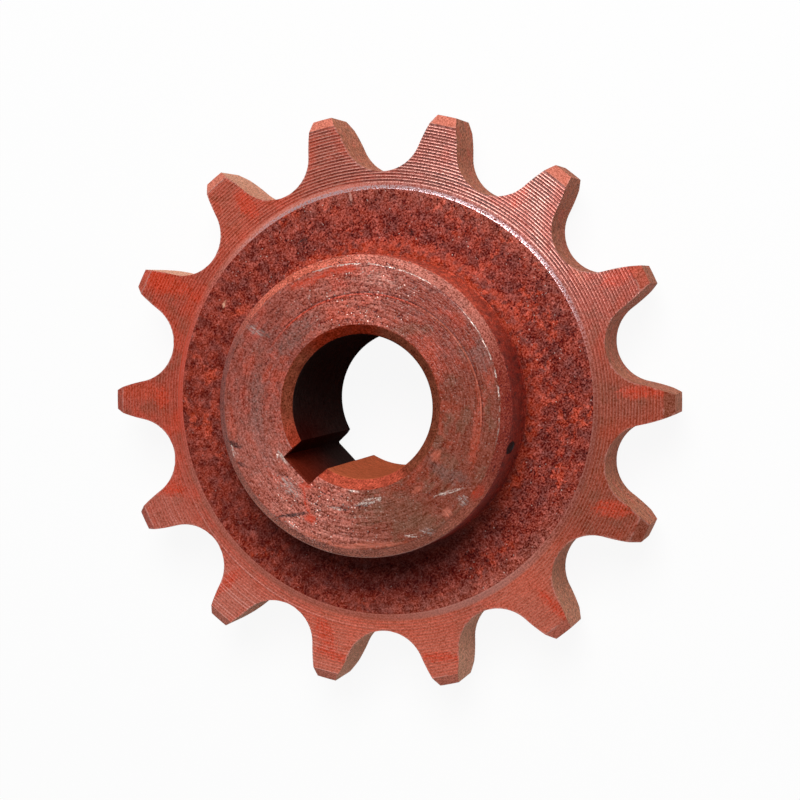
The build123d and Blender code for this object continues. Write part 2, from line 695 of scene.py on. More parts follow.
class Sheet:
    """A node tree that is being laid out, with short ways to add the nodes that finishes use."""

    def __init__(self, tree: bpy.types.NodeTree) -> None:
        """Takes an empty tree."""
        self.tree = tree

    def add(self, kind: str, **settings: object) -> bpy.types.Node:
        """Adds a node.

        Args:
            kind: the node's type.
            settings: its properties by name.

        Returns:
            The new node.
        """
        node = self.tree.nodes.new(kind)
        for name, value in settings.items():
            setattr(node, name, value)
        return node

    def put(self, socket: Socket, value: Value) -> None:
        """Links a value to an input, or writes it there if it is a plain one."""
        if isinstance(value, bpy.types.NodeSocket):
            self.tree.links.new(value, socket)
        else:
            socket.default_value = value.value if isinstance(value, Tone) else value

    def maths(self, operation: str, *values: Value) -> Socket:
        """Works out one number from others.

        Args:
            operation: the Math node's operation.
            values: what it works on, in order.

        Returns:
            The result.
        """
        node = self.add("ShaderNodeMath", operation=operation)
        for socket, value in zip(node.inputs, values):
            self.put(socket, value)
        return node.outputs[0]

    def product(self, first: Value, *others: Value) -> Socket:
        """Multiplies numbers."""
        for other in others:
            first = self.maths("MULTIPLY", first, other)
        return first

    def total(self, first: Value, second: Value) -> Socket:
        """Adds two numbers."""
        return self.maths("ADD", first, second)

    def less(self, first: Value, second: Value) -> Socket:
        """Takes the second number from the first."""
        return self.maths("SUBTRACT", first, second)

    def rest(self, mask: Value) -> Socket:
        """What a mask leaves over: 1 less the mask."""
        return self.less(1.0, mask)

    def most(self, first: Value, second: Value) -> Socket:
        """The larger of two numbers."""
        return self.maths("MAXIMUM", first, second)

    def share(self, first: Value, second: Value) -> Socket:
        """Divides the first number by the second."""
        return self.maths("DIVIDE", first, second)

    def vector(self, operation: str, *values: Value) -> Socket:
        """Works out a vector, or its length, from vectors."""
        node = self.add("ShaderNodeVectorMath", operation=operation)
        for socket, value in zip(node.inputs, values):
            self.put(socket, value)
        return node.outputs["Value" if operation in ("LENGTH", "DISTANCE", "DOT_PRODUCT") else "Vector"]

    def scaled(self, place: Socket, factor: Value) -> Socket:
        """Multiplies a vector by a number."""
        node = self.add("ShaderNodeVectorMath", operation="SCALE")
        self.put(node.inputs[0], place)
        self.put(node.inputs["Scale"], factor)
        return node.outputs["Vector"]

    def join(self, x: Value, y: Value, z: Value) -> Socket:
        """Makes a vector of three numbers."""
        node = self.add("ShaderNodeCombineXYZ")
        for socket, value in zip(node.inputs, (x, y, z)):
            self.put(socket, value)
        return node.outputs[0]

    def split(self, vector: Value) -> tuple[Socket, Socket, Socket]:
        """The three numbers of a vector."""
        node = self.add("ShaderNodeSeparateXYZ")
        self.put(node.inputs[0], vector)
        return tuple(node.outputs)

    def bearing(self, x: Socket, y: Socket) -> Socket:
        """The angle of a direction from the +X side, from -180 to 180 degrees."""
        return self.product(self.maths("ARCTAN2", y, x), 180 / math.pi)

    def rise(self, value: Value, low: float, high: float) -> Socket:
        """A smooth step from 0 at low to 1 at high. With low above high it falls instead."""
        node = self.add("ShaderNodeMapRange", interpolation_type="SMOOTHSTEP")
        falls = low > high
        ends = (high, low, 1.0, 0.0) if falls else (low, high, 0.0, 1.0)
        for socket, number in zip(node.inputs, (value, *ends)):
            self.put(socket, number)
        return node.outputs[0]

    def between(self, value: Value, low: float, high: float, soft: float) -> Socket:
        """A mask that is 1 from low to high, and falls off over soft on each side."""
        return self.product(self.rise(value, low - soft, low), self.rise(value, high + soft, high))

    def noise(
        self, place: Socket, per_mm: Value, detail: float = 2.0, rough: float = 0.55, twist: float = 0.0
    ) -> Socket:
        """Cloudy noise, from 0 to 1 with most of it near the middle.

        Args:
            place: where it is read, in millimetres.
            per_mm: how many lumps it has in a millimetre.
            detail: how many finer layers it has.
            rough: how strong those layers are.
            twist: how much the lumps are drawn out into worms.

        Returns:
            The noise's value.
        """
        node = self.add("ShaderNodeTexNoise")
        self.put(node.inputs["Vector"], place)
        self.put(node.inputs["Scale"], per_mm)
        self.put(node.inputs["Detail"], detail)
        self.put(node.inputs["Roughness"], rough)
        self.put(node.inputs["Distortion"], twist)
        return node.outputs[0]

    def swing(self, place: Socket, per_mm: Value, detail: float = 2.0, rough: float = 0.55) -> Socket:
        """Cloudy noise about 0. The arguments are those of noise."""
        return self.less(self.noise(place, per_mm, detail, rough), 0.5)

    def cells(self, place: Socket, per_mm: Value) -> tuple[Socket, Socket]:
        """Scattered points.

        Args:
            place: where they are read, in millimetres.
            per_mm: how many there are in a millimetre.

        Returns:
            The distance to the nearest point, in steps between points, and that point's own number.
        """
        node = self.add("ShaderNodeTexVoronoi")
        self.put(node.inputs["Vector"], place)
        self.put(node.inputs["Scale"], per_mm)
        split = self.add("ShaderNodeSeparateColor")
        self.put(split.inputs[0], node.outputs["Color"])
        return node.outputs["Distance"], split.outputs[0]

    def mix(self, amount: Value, under: Value, over: Value) -> Socket:
        """Lays one colour over another.

        Args:
            amount: how much of the upper colour shows, from 0 to 1.
            under: the colour below.
            over: the colour on top.

        Returns:
            The mixed colour.
        """
        node = self.add("ShaderNodeMix", data_type="RGBA")
        for socket, value in zip((node.inputs[0], node.inputs[6], node.inputs[7]), (amount, under, over)):
            self.put(socket, value)
        return node.outputs[2]

    def blend(self, amount: Value, low: Value, high: Value) -> Socket:
        """A number between two others: low where amount is 0, high where it is 1."""
        node = self.add("ShaderNodeMix", data_type="FLOAT")
        for socket, value in zip((node.inputs[0], node.inputs[2], node.inputs[3]), (amount, low, high)):
            self.put(socket, value)
        return node.outputs[0]

    def shade(self, colour: Value, factor: Value, veil: float = 0.08) -> Socket:
        """Makes a colour lighter or darker with little change of its hue.

        Args:
            colour: the colour.
            factor: how much lighter, near 1.
            veil: how much grey counts as lying over the colour, which is what keeps the hue.

        Returns:
            The shaded colour.
        """
        veiled = self.vector("ADD", colour, (veil, veil, veil))
        shaded = self.vector("SUBTRACT", self.scaled(veiled, factor), (veil, veil, veil))
        return self.vector("MAXIMUM", shaded, (0.0, 0.0, 0.0))

    def effect(self, effect: "Effect", **values: Value) -> dict[str, Socket]:
        """Places a shared effect.

        Args:
            effect: the effect.
            values: its inputs by name, with _ for a space.

        Returns:
            Its outputs by name.
        """
        node = self.add("ShaderNodeGroup", node_tree=effect.tree())
        for name, value in values.items():
            self.put(node.inputs[name.replace("_", " ")], value)
        return {socket.name: socket for socket in node.outputs}


# ---------------------------------------------------------------- effects that finishes share


class Effect:
    """A node group that several finishes place, each with its own values."""

    title = ""
    takes: dict[str, str] = {}
    gives: dict[str, str] = {}

    def draw(self, sheet: Sheet, given: dict[str, Socket]) -> dict[str, Socket]:
        """Lays out the group's nodes.

        Args:
            sheet: the group's tree.
            given: its inputs by name.

        Returns:
            Its outputs by name.
        """
        raise NotImplementedError

    def tree(self) -> bpy.types.NodeTree:
        """The group, made the first time that it is asked for."""
        made = bpy.data.node_groups.get(self.title)
        if made:
            return made
        made = bpy.data.node_groups.new(self.title, "ShaderNodeTree")
        for name, kind in self.takes.items():
            made.interface.new_socket(name, in_out="INPUT", socket_type="NodeSocket" + kind)
        for name, kind in self.gives.items():
            made.interface.new_socket(name, in_out="OUTPUT", socket_type="NodeSocket" + kind)
        sheet = Sheet(made)
        entry = sheet.add("NodeGroupInput")
        results = self.draw(sheet, {socket.name: socket for socket in entry.outputs})
        out = sheet.add("NodeGroupOutput")
        for name, value in results.items():
            sheet.put(out.inputs[name], value)
        return made


class Whereabouts(Effect):
    """Where a point is on the sprocket: its radius, height and angle, and its place on a lathe.

    The lathe place runs slowly round the bore and fast along the radius and the height, so that
    noise read there looks like turning marks. Angles are degrees from the keyway, 0 to 360.
    """

    title = "whereabouts"
    takes = {"Place": "Vector"}
    gives = {"Radius": "Float", "Height": "Float", "Angle": "Float", "Lathe": "Vector"}
    marks_per_radian = 5.0

    def draw(self, sheet: Sheet, given: dict[str, Socket]) -> dict[str, Socket]:
        """Lays out the group, as Effect.draw says."""
        x, y, height = sheet.split(given["Place"])
        radius = sheet.vector("LENGTH", sheet.join(x, y, 0.0))
        angle = sheet.maths("FLOORED_MODULO", sheet.bearing(x, y), 360.0)
        cosine = sheet.share(x, radius)
        sine = sheet.share(y, radius)
        around = self.marks_per_radian
        lathe = sheet.join(
            sheet.product(cosine, around), sheet.product(sine, around), sheet.total(radius, height)
        )
        return {"Radius": radius, "Height": height, "Angle": angle, "Lathe": lathe}


class Sector(Effect):
    """A mask for one stretch round the bore, with soft ends. Angles are degrees from the keyway."""

    title = "sector"
    takes = {"Angle": "Float", "Middle": "Float", "Half width": "Float", "Soft": "Float"}
    gives = {"Mask": "Float"}

    def draw(self, sheet: Sheet, given: dict[str, Socket]) -> dict[str, Socket]:
        """Lays out the group, as Effect.draw says."""
        apart = sheet.less(given["Angle"], given["Middle"])
        nearest = sheet.maths("WRAP", apart, 180.0, -180.0)
        inside = sheet.less(given["Half width"], sheet.maths("ABSOLUTE", nearest))
        grown = sheet.total(sheet.share(inside, given["Soft"]), 0.5)
        return {"Mask": sheet.rise(grown, 0.0, 1.0)}


class GapDistance(Effect):
    """How far a point of the rim is from the nearest wall of a tooth gap, in millimetres.

    It folds the fourteen gaps onto one and measures to its seat and to its nearer flank. The flank
    takes over between two lines that lie a little inside the seat's centre.
    """

    title = "gap distance"
    takes = {"Place": "Vector"}
    gives = {"Distance": "Float"}
    seat_ends = 4.0
    flank_starts = 3.2

    def __init__(self, gaps: ToothGaps) -> None:
        """Takes the gaps' sizes."""
        self.gaps = gaps

    def draw(self, sheet: Sheet, given: dict[str, Socket]) -> dict[str, Socket]:
        """Lays out the group, as Effect.draw says."""
        x, y, _ = sheet.split(given["Place"])
        radius = sheet.vector("LENGTH", sheet.join(x, y, 0.0))
        pitch = 2 * math.pi / self.gaps.teeth
        steps = sheet.share(sheet.less(sheet.maths("ARCTAN2", y, x), self.gaps.tooth_to_keyway), pitch)
        past_tooth = sheet.less(steps, sheet.maths("ROUND", steps))
        from_gap = sheet.product(sheet.less(0.5, sheet.maths("ABSOLUTE", past_tooth)), pitch)
        along = sheet.product(radius, sheet.maths("COSINE", from_gap))
        across = sheet.product(radius, sheet.maths("SINE", from_gap))
        folded = sheet.join(along, across, 0.0)
        seat = self.gaps.seat_centre() / MM
        flank = self.gaps.flank_centre() / MM
        to_seat = sheet.less(sheet.vector("DISTANCE", folded, tuple(seat)), self.gaps.seat_radius / MM)
        to_flank = sheet.less(self.gaps.flank_radius / MM, sheet.vector("DISTANCE", folded, tuple(flank)))
        on_flank = sheet.rise(along, seat.x - self.seat_ends, seat.x - self.flank_starts)
        return {"Distance": sheet.blend(on_flank, to_seat, to_flank)}


class Speckle(Effect):
    """The fine grain of a thin primer: a factor near 1 for its colour, small flecks of bare steel that also
    serve as painted glints, and a height.
    """

    title = "speckle"
    takes = {"Place": "Vector", "Grain": "Float", "Contrast": "Float", "Flecks": "Float"}
    gives = {"Factor": "Float", "Fleck": "Float", "Height": "Float"}
    aside = (17.3, 8.9, -21.1)

    def draw(self, sheet: Sheet, given: dict[str, Socket]) -> dict[str, Socket]:
        """Lays out the group, as Effect.draw says."""
        fine = sheet.swing(given["Place"], given["Grain"], 1.0, 0.6)
        moved = sheet.vector("ADD", given["Place"], self.aside)
        coarse = sheet.swing(moved, sheet.product(given["Grain"], 0.45), 1.0, 0.6)
        both = sheet.total(sheet.product(fine, 6.0), sheet.product(coarse, 0.9))
        swing = sheet.product(both, given["Contrast"])
        factor = sheet.most(sheet.total(swing, 1.0), 0.3)
        point, number = sheet.cells(moved, sheet.product(given["Grain"], 0.8))
        small = sheet.rise(point, 0.42, 0.22)
        chosen = sheet.maths("GREATER_THAN", given["Flecks"], number)
        return {"Factor": factor, "Fleck": sheet.product(small, chosen), "Height": both}


class PrimerCoat(Effect):
    """A thin brushed primer: browner where it is thin, darker where it pools, vivid where it is thick."""

    title = "primer coat"
    takes = {
        "Place": "Vector",
        "Base": "Color",
        "Thick": "Color",
        "Dark": "Color",
        "Patches": "Float",
        "Thick amount": "Float",
        "Dark amount": "Float",
    }
    gives = {"Color": "Color", "Thickness": "Float"}
    aside = (31.7, -12.4, 55.0)

    def draw(self, sheet: Sheet, given: dict[str, Socket]) -> dict[str, Socket]:
        """Lays out the group, as Effect.draw says."""
        broad = sheet.noise(given["Place"], given["Patches"], 2.0, 0.55)
        moved = sheet.vector("ADD", given["Place"], self.aside)
        pooled = sheet.noise(moved, sheet.product(given["Patches"], 3.1), 2.0, 0.5)
        thick = sheet.product(sheet.rise(broad, 0.53, 0.68), given["Thick amount"])
        dark = sheet.product(sheet.rise(pooled, 0.46, 0.68), given["Dark amount"])
        colour = sheet.mix(dark, given["Base"], given["Dark"])
        return {"Color": sheet.mix(thick, colour, given["Thick"]), "Thickness": thick}


class EdgeWear(Effect):
    """Where handling has rubbed an edge bare, in an uneven broken line along it; the same line also serves as
    a painted highlight along an edge.
    """

    title = "edge wear"
    takes = {"Place": "Vector", "Distance": "Float", "Width": "Float", "Amount": "Float"}
    gives = {"Mask": "Float"}

    def draw(self, sheet: Sheet, given: dict[str, Socket]) -> dict[str, Socket]:
        """Lays out the group, as Effect.draw says."""
        nibble = sheet.swing(given["Place"], 1.3, 3.0, 0.75)
        width = sheet.product(given["Width"], sheet.total(nibble, 1.0))
        torn = sheet.total(given["Distance"], sheet.product(nibble, given["Width"], 5.0))
        share = sheet.share(sheet.maths("ABSOLUTE", torn), width)
        near = sheet.rise(share, 1.0, 0.5)
        spread = sheet.total(sheet.noise(given["Place"], 0.32, 3.0, 0.65), given["Amount"])
        broken = sheet.rise(sheet.less(spread, 0.5), 0.42, 0.56)
        return {"Mask": sheet.product(near, broken)}


class Rub(Effect):
    """One rubbed, struck or dabbed place: a long spot with a torn outline and streaks along it."""

    title = "rub"
    takes = {
        "Place": "Vector",
        "Middle": "Vector",
        "Length": "Float",
        "Width": "Float",
        "Turn": "Float",
        "Streaks": "Float",
    }
    gives = {"Mask": "Float"}

    def draw(self, sheet: Sheet, given: dict[str, Socket]) -> dict[str, Socket]:
        """Lays out the group, as Effect.draw says."""
        moved = sheet.vector("SUBTRACT", given["Place"], given["Middle"])
        spin = sheet.add("ShaderNodeVectorRotate", rotation_type="Z_AXIS")
        sheet.put(spin.inputs["Vector"], moved)
        sheet.put(spin.inputs["Angle"], sheet.product(given["Turn"], -math.pi / 180))
        along, across, height = sheet.split(spin.outputs[0])
        share = sheet.join(
            sheet.share(along, given["Length"]),
            sheet.share(across, given["Width"]),
            sheet.share(height, given["Length"]),
        )
        far = sheet.vector("LENGTH", share)
        torn = sheet.noise(given["Place"], 1.3, 3.0, 0.7)
        drawn_out = sheet.join(sheet.product(along, 0.7), sheet.product(across, 2.4), 0.0)
        streaks = sheet.noise(drawn_out, 1.0, 3.0, 0.8, 0.6)
        spot = sheet.rise(sheet.total(far, sheet.product(torn, 1.6)), 1.9, 1.2)
        kept = sheet.blend(given["Streaks"], 1.0, sheet.rise(streaks, 0.46, 0.56))
        return {"Mask": sheet.product(spot, kept)}


class TurnedLines(Effect):
    """The marks of a turning tool: the outer side of each crest, where the rim paints rubbing and a
    highlight, and the valleys between crests.

    A crest lies wherever Along is a whole number of pitches, in millimetres.
    """

    title = "turned lines"
    takes = {"Along": "Float", "Pitch": "Float"}
    gives = {"Crest": "Float", "Valley": "Float"}

    def draw(self, sheet: Sheet, given: dict[str, Socket]) -> dict[str, Socket]:
        """Lays out the group, as Effect.draw says."""
        share = sheet.maths("FRACT", sheet.share(given["Along"], given["Pitch"]))
        crest = sheet.product(sheet.rise(share, 0.0, 0.03), sheet.rise(share, 0.34, 0.18))
        valley = sheet.product(sheet.rise(share, 0.36, 0.56), sheet.rise(share, 1.0, 0.9))
        return {"Crest": crest, "Valley": valley}


# ---------------------------------------------------------------- finishes


@dataclass
class Surface:
    """What a finish shows at each point. The height is in millimetres."""

    colour: Value
    roughness: Value
    metallic: Value
    height: Socket


@dataclass(frozen=True)
class Spot:
    """The point on the sprocket that a finish works out, as the nodes that tell where it is.

    Lengths are in millimetres, and the angle is in degrees from the keyway.
    """

    place: Socket
    radius: Socket
    height: Socket
    angle: Socket
    lathe: Socket


class Finish:
    """A material that reads the place on the sprocket, in millimetres."""

    title = ""
    gloss = 0.5

    def surface(self, sheet: Sheet, spot: Spot) -> Surface:
        """Lays out what the finish shows.

        Args:
            sheet: the material's tree.
            spot: the point on the sprocket.

        Returns:
            The surface.
        """
        raise NotImplementedError

    def material(self) -> bpy.types.Material:
        """Makes the material."""
        made = bpy.data.materials.new(self.title)
        made.use_nodes = True
        shader = made.node_tree.nodes["Principled BSDF"]
        shader.inputs["Specular IOR Level"].default_value = self.gloss
        sheet = Sheet(made.node_tree)
        coordinates = sheet.add("ShaderNodeTexCoord")
        place = sheet.scaled(coordinates.outputs["Object"], 1 / MM)
        where = sheet.effect(Whereabouts(), Place=place)
        spot = Spot(place, where["Radius"], where["Height"], where["Angle"], where["Lathe"])
        surface = self.surface(sheet, spot)
        sheet.put(shader.inputs["Base Color"], surface.colour)
        sheet.put(shader.inputs["Roughness"], surface.roughness)
        sheet.put(shader.inputs["Metallic"], surface.metallic)
        bump = sheet.add("ShaderNodeBump")
        bump.inputs["Distance"].default_value = MM
        sheet.put(bump.inputs["Height"], surface.height)
        sheet.put(shader.inputs["Normal"], bump.outputs[0])
        return made


@dataclass(frozen=True)
class Stretch:
    """A stretch round the bore with soft ends. Angles are in degrees from the keyway."""

    middle: float
    half_width: float
    soft: float

    def mask(self, sheet: Sheet, angle: Socket) -> Socket:
        """Where the stretch is.

        Args:
            sheet: the material's tree.
            angle: the angle from the keyway.

        Returns:
            The mask.
        """
        placed = sheet.effect(
            Sector(), Angle=angle, Middle=self.middle, Half_width=self.half_width, Soft=self.soft
        )
        return placed["Mask"]


@dataclass(frozen=True)
class Tint:
    """A stretch round the bore where a finish leans to another colour. Angles are in degrees."""

    tone: Tone
    middle: float
    half_width: float
    soft: float
    amount: float

    def lay(self, sheet: Sheet, angle: Socket, mask: Value, colour: Value) -> Socket:
        """Lays the tint over a colour.

        Args:
            sheet: the material's tree.
            angle: the angle from the keyway.
            mask: where the tint may show.
            colour: the colour so far.

        Returns:
            The tinted colour.
        """
        stretch = Stretch(self.middle, self.half_width, self.soft).mask(sheet, angle)
        return sheet.mix(sheet.product(stretch, mask, self.amount), colour, self.tone)


def lay_tints(sheet: Sheet, tints: tuple[Tint, ...], angle: Socket, mask: Value, colour: Value) -> Value:
    """Lays tints over a colour, one after another.

    Args:
        sheet: the material's tree.
        tints: the tints, the lowest first.
        angle: the angle from the keyway.
        mask: where they may show.
        colour: the colour so far.

    Returns:
        The tinted colour.
    """
    for tint in tints:
        colour = tint.lay(sheet, angle, mask, colour)
    return colour


@dataclass(frozen=True)
class Mark:
    """One place on the sprocket that was knocked, rubbed or dabbed with fresh primer, or a pit drawn with
    painted shade and highlight.

    Sizes are in millimetres. The angle is in degrees from the keyway, and the turn is that of the
    mark's long side from the direction straight out from the bore.
    """

    tone: Tone
    radius: float
    angle: float
    length: float
    width: float
    turn: float = 90.0
    bare: float = 0.0
    streaks: float = 1.0

    def mask(self, sheet: Sheet, place: Socket, height: float, shown: Value) -> Socket:
        """Where the mark shows.

        Args:
            sheet: the material's tree.
            place: the point on the sprocket, in millimetres.
            height: the height of the face that it lies on, in millimetres.
            shown: a mask of where marks may show.

        Returns:
            The mask.
        """
        turn = math.radians(self.angle)
        middle = (self.radius * math.cos(turn), self.radius * math.sin(turn), height)
        rub = sheet.effect(
            Rub(), Place=place, Middle=middle, Length=self.length, Width=self.width,
            Turn=self.angle + self.turn, Streaks=self.streaks,
        )
        return sheet.product(rub["Mask"], shown)

    def lay(self, sheet: Sheet, place: Socket, height: float, shown: Value, colour: Value) -> Socket:
        """Lays the mark's colour over a finish. The arguments are those of mask.

        Returns:
            The colour with the mark.
        """
        return sheet.mix(sheet.product(self.mask(sheet, place, height, shown), 0.85), colour, self.tone)


@dataclass(frozen=True)
class Levels:
    """How strong a part of the rim's finish is: on the whole, on the pale side and in the lamp's light."""

    usual: float
    pale: float
    sunlit: float

    def at(self, sheet: Sheet, pale_side: Socket, sunlit: Socket) -> Socket:
        """The strength at each point, from masks of the pale side and of the sunlit stretch."""
        return sheet.blend(sunlit, sheet.blend(pale_side, self.usual, self.pale), self.sunlit)


@dataclass(frozen=True)
class TurnedRim(Finish):
    """The rim and the faces of the teeth: primer over deep turning marks, rubbed on the crests, with painted
    highlights and painted shade where the lamp falls.
    """

    blank: Blank
    gaps: ToothGaps
    title: str = "turned_rim"
    gloss: float = 0.2
    sunlit: Stretch = Stretch(207.0, 40.0, 34.0)
    pale_side: Stretch = Stretch(22.0, 48.0, 50.0)
    # The shining stretch is where the shoulder carries a painted highlight.
    shining_step: Stretch = Stretch(212.0, 50.0, 34.0)
    # Valleys darken with pooled primer and with painted shade, and crests pale with rubbing and with a
    # painted highlight, both most in the sunlit stretch.
    valleys: Levels = Levels(0.24, 0.1, 0.8)
    crests: Levels = Levels(0.14, 0.12, 0.52)
    rim_tints: tuple[Tint, ...] = (
        Tint(Tone.BROWN_PRIMER, 122.0, 28.0, 30.0, 0.5),
        Tint(Tone.NOSE_ORANGE, 46.0, 20.0, 16.0, 0.45),
        Tint(Tone.SALMON_PRIMER, 86.0, 12.0, 14.0, 0.6),
        Tint(Tone.SALMON_PRIMER, 240.0, 14.0, 14.0, 0.3),
        Tint(Tone.SALMON_PRIMER, 266.0, 8.0, 14.0, 0.3),
        Tint(Tone.TIP_SALMON, 44.0, 44.0, 30.0, 0.16),
    )
    step_tints: tuple[Tint, ...] = (
        Tint(Tone.NOSE_BROWN, 128.0, 18.0, 24.0, 0.4),
        Tint(Tone.TIP_SALMON, 250.0, 20.0, 24.0, 0.5),
        Tint(Tone.FRESH_PRIMER, 311.0, 18.0, 24.0, 0.7),
        Tint(Tone.SALMON_PRIMER, 24.0, 44.0, 40.0, 0.4),
        Tint(Tone.ROSE, 72.0, 18.0, 24.0, 0.35),
    )
    tip_tints: tuple[Tint, ...] = (
        Tint(Tone.BROWN_PRIMER, 128.0, 26.0, 40.0, 0.6),
        Tint(Tone.TIP_SALMON, 226.0, 56.0, 40.0, 0.8),
        Tint(Tone.TIP_SALMON, 40.0, 44.0, 40.0, 0.75),
    )
    patches: tuple[Mark, ...] = (
        Mark(Tone.FRESH_PRIMER, 56.0, 138.6, 6.5, 1.7, 0, streaks=0.4),
        Mark(Tone.FRESH_PRIMER, 57.4, 163.6, 5.0, 2.4, 0, streaks=0.4),
        Mark(Tone.SALMON_PRIMER, 50.8, 171.0, 5.5, 1.6, 80, streaks=0.4),
        Mark(Tone.FRESH_PRIMER, 53.4, 191.6, 5.5, 1.6, 8, streaks=0.5),
        Mark(Tone.FRESH_PRIMER, 52.4, 261.4, 4.6, 2.4, 0, streaks=0.3),
        Mark(Tone.FRESH_PRIMER, 56.5, 288.2, 9.5, 3.2, 4, streaks=0.3),
        Mark(Tone.SIDE_ORANGE, 57.0, 313.8, 9.5, 2.4, -4, streaks=0.3),
        Mark(Tone.FRESH_PRIMER, 51.0, 315.6, 2.0, 3.0, 0, streaks=0.5),
        Mark(Tone.FRESH_PRIMER, 53.6, 337.2, 6.0, 2.0, -24, streaks=0.4),
        Mark(Tone.FRESH_PRIMER, 55.0, 3.4, 6.5, 1.8, -12, streaks=0.4),
        Mark(Tone.FRESH_PRIMER, 52.2, 30.8, 5.0, 2.6, 40, streaks=0.5),
        Mark(Tone.FRESH_PRIMER, 56.2, 33.6, 5.0, 1.4, 84, streaks=0.5),
        Mark(Tone.FRESH_PRIMER, 55.8, 58.4, 5.0, 1.3, 80, streaks=0.5),
        Mark(Tone.FRESH_PRIMER, 56.6, 87.0, 6.5, 1.4, 6, streaks=0.5),
        Mark(Tone.FRESH_PRIMER, 54.0, 112.0, 5.0, 2.2, 20, streaks=0.5),
    )

    def surface(self, sheet: Sheet, spot: Spot) -> Surface:
        """Lays out the finish, as Finish.surface says."""
        shoulder = self.blank.shoulder_radius / MM
        bevel = (self.blank.tip_radius - self.blank.tip_bevel) / MM
        top_of_step = self.blank.web_radius / MM
        from_gap = sheet.effect(GapDistance(self.gaps), Place=spot.place)["Distance"]
        sunlit = self.sunlit.mask(sheet, spot.angle)
        pale_side = self.pale_side.mask(sheet, spot.angle)
        colour, thick = self.paint(sheet, spot, from_gap, sunlit, pale_side)
        on_tip = sheet.rise(spot.radius, bevel, bevel + 0.2)
        colour = lay_tints(sheet, self.tip_tints, spot.angle, on_tip, colour)
        on_step = sheet.between(spot.radius, top_of_step - 0.1, shoulder - 0.1, 0.15)
        shaded_step = sheet.product(on_step, sheet.rest(sunlit), 0.8)
        grooved = sheet.most(sheet.between(spot.radius, shoulder, bevel, 0.05), shaded_step)
        along = sheet.less(spot.radius, shoulder)
        lines = sheet.effect(TurnedLines(), Along=along, Pitch=self.blank.true_pitch() / MM)
        thin = sheet.rest(sheet.product(thick, 0.8))
        broken = sheet.rise(sheet.noise(spot.lathe, 1.4, 3.0, 0.6), 0.3, 0.6)
        # The dark valleys are pooled primer and painted shade, the shade strongest in the sunlit stretch.
        deep = self.valleys.at(sheet, pale_side, sunlit)
        valley = sheet.product(lines["Valley"], grooved, broken, thin, deep)
        colour = sheet.mix(valley, colour, Tone.DARK_PRIMER)
        contrast = sheet.blend(on_tip, sheet.blend(pale_side, 0.22, 0.2), 0.28)
        contrast = sheet.blend(on_step, contrast, 0.42)
        grain = sheet.effect(Speckle(), Place=spot.place, Grain=2.8, Contrast=contrast, Flecks=0.03)
        colour = sheet.shade(colour, grain["Factor"])
        patchy = sheet.rise(grain["Height"], -2.4, 0.4)
        # The crests are rubbed bare, and their pale colour, far stronger in the sunlit stretch, is also a
        # painted highlight.
        shine = self.crests.at(sheet, pale_side, sunlit)
        rubbed_and_highlit = sheet.product(lines["Crest"], grooved, patchy, thin, shine)
        colour = sheet.mix(sheet.product(on_step, 0.25), colour, Tone.DULL_PINK)
        colour = lay_tints(sheet, self.step_tints, spot.angle, on_step, colour)
        # On the shoulder the pale steel colour is bare metal and also a painted highlight, strongest in the
        # shining stretch.
        step = sheet.product(
            on_step,
            sheet.blend(sheet.rise(spot.radius, top_of_step + 0.5, top_of_step + 1.0), 1.0, 0.12),
            sheet.rise(grain["Height"], -1.0, 0.8),
            sheet.blend(self.shining_step.mask(sheet, spot.angle), 0.05, 1.0),
        )
        colour = sheet.mix(rubbed_and_highlit, colour, Tone.RUBBED_PRIMER)
        colour = sheet.mix(step, colour, Tone.SHOULDER_STEEL)
        # The worn edges of the teeth are also painted highlights along those edges.
        worn_and_lit = self.worn_lit_edges(sheet, spot, from_gap, bevel)
        colour = sheet.mix(sheet.product(worn_and_lit, 0.45), colour, Tone.ROSE)
        bare = sheet.most(rubbed_and_highlit, step)
        return Surface(colour, sheet.blend(on_tip, 0.34, 0.7), bare, sheet.product(grain["Height"], 0.008))

    def paint(
        self, sheet: Sheet, spot: Spot, from_gap: Socket, sunlit: Socket, pale_side: Socket
    ) -> tuple[Socket, Socket]:
        """The primer before any of it wears off.

        Args:
            sheet: the material's tree.
            spot: the point on the sprocket.
            from_gap: how far it is from the nearest gap's wall, in millimetres.
            sunlit: a mask of the stretch in the lamp's light.
            pale_side: a mask of the pale side.

        Returns:
            The primer's colour and its thickness.
        """
        coat = sheet.effect(
            PrimerCoat(),
            Place=spot.place,
            Base=Tone.RIM_PRIMER,
            Thick=Tone.FRESH_PRIMER,
            Dark=Tone.BROWN_PRIMER,
            Patches=0.09,
            Thick_amount=0.55,
            Dark_amount=0.45,
        )
        patchy = sheet.rise(sheet.noise(spot.place, 0.16), 0.46, 0.58)
        run = sheet.product(sheet.rise(from_gap, 3.2, 0.8), patchy, 0.5)
        thick = sheet.most(coat["Thickness"], run)
        outer_half = sheet.rise(spot.radius, 48.0, 55.0)
        pale = sheet.product(pale_side, sheet.blend(outer_half, 0.4, 0.9))
        colour = sheet.mix(pale, coat["Color"], Tone.PALE_PRIMER)
        # In the sunlit stretch the primer is darkened as painted shade between the painted crest highlights.
        colour = sheet.mix(sheet.product(sunlit, 0.5), colour, Tone.MAROON_PRIMER)
        colour = sheet.mix(sheet.product(run, 0.55), colour, Tone.FRESH_PRIMER)
        colour = lay_tints(sheet, self.rim_tints, spot.angle, 1.0, colour)
        for patch in self.patches:
            mask = patch.mask(sheet, spot.place, self.blank.rim_front / MM, 1.0)
            colour = sheet.mix(sheet.product(mask, 0.8), colour, patch.tone)
            thick = sheet.most(thick, sheet.product(mask, 0.45))
        return colour, thick

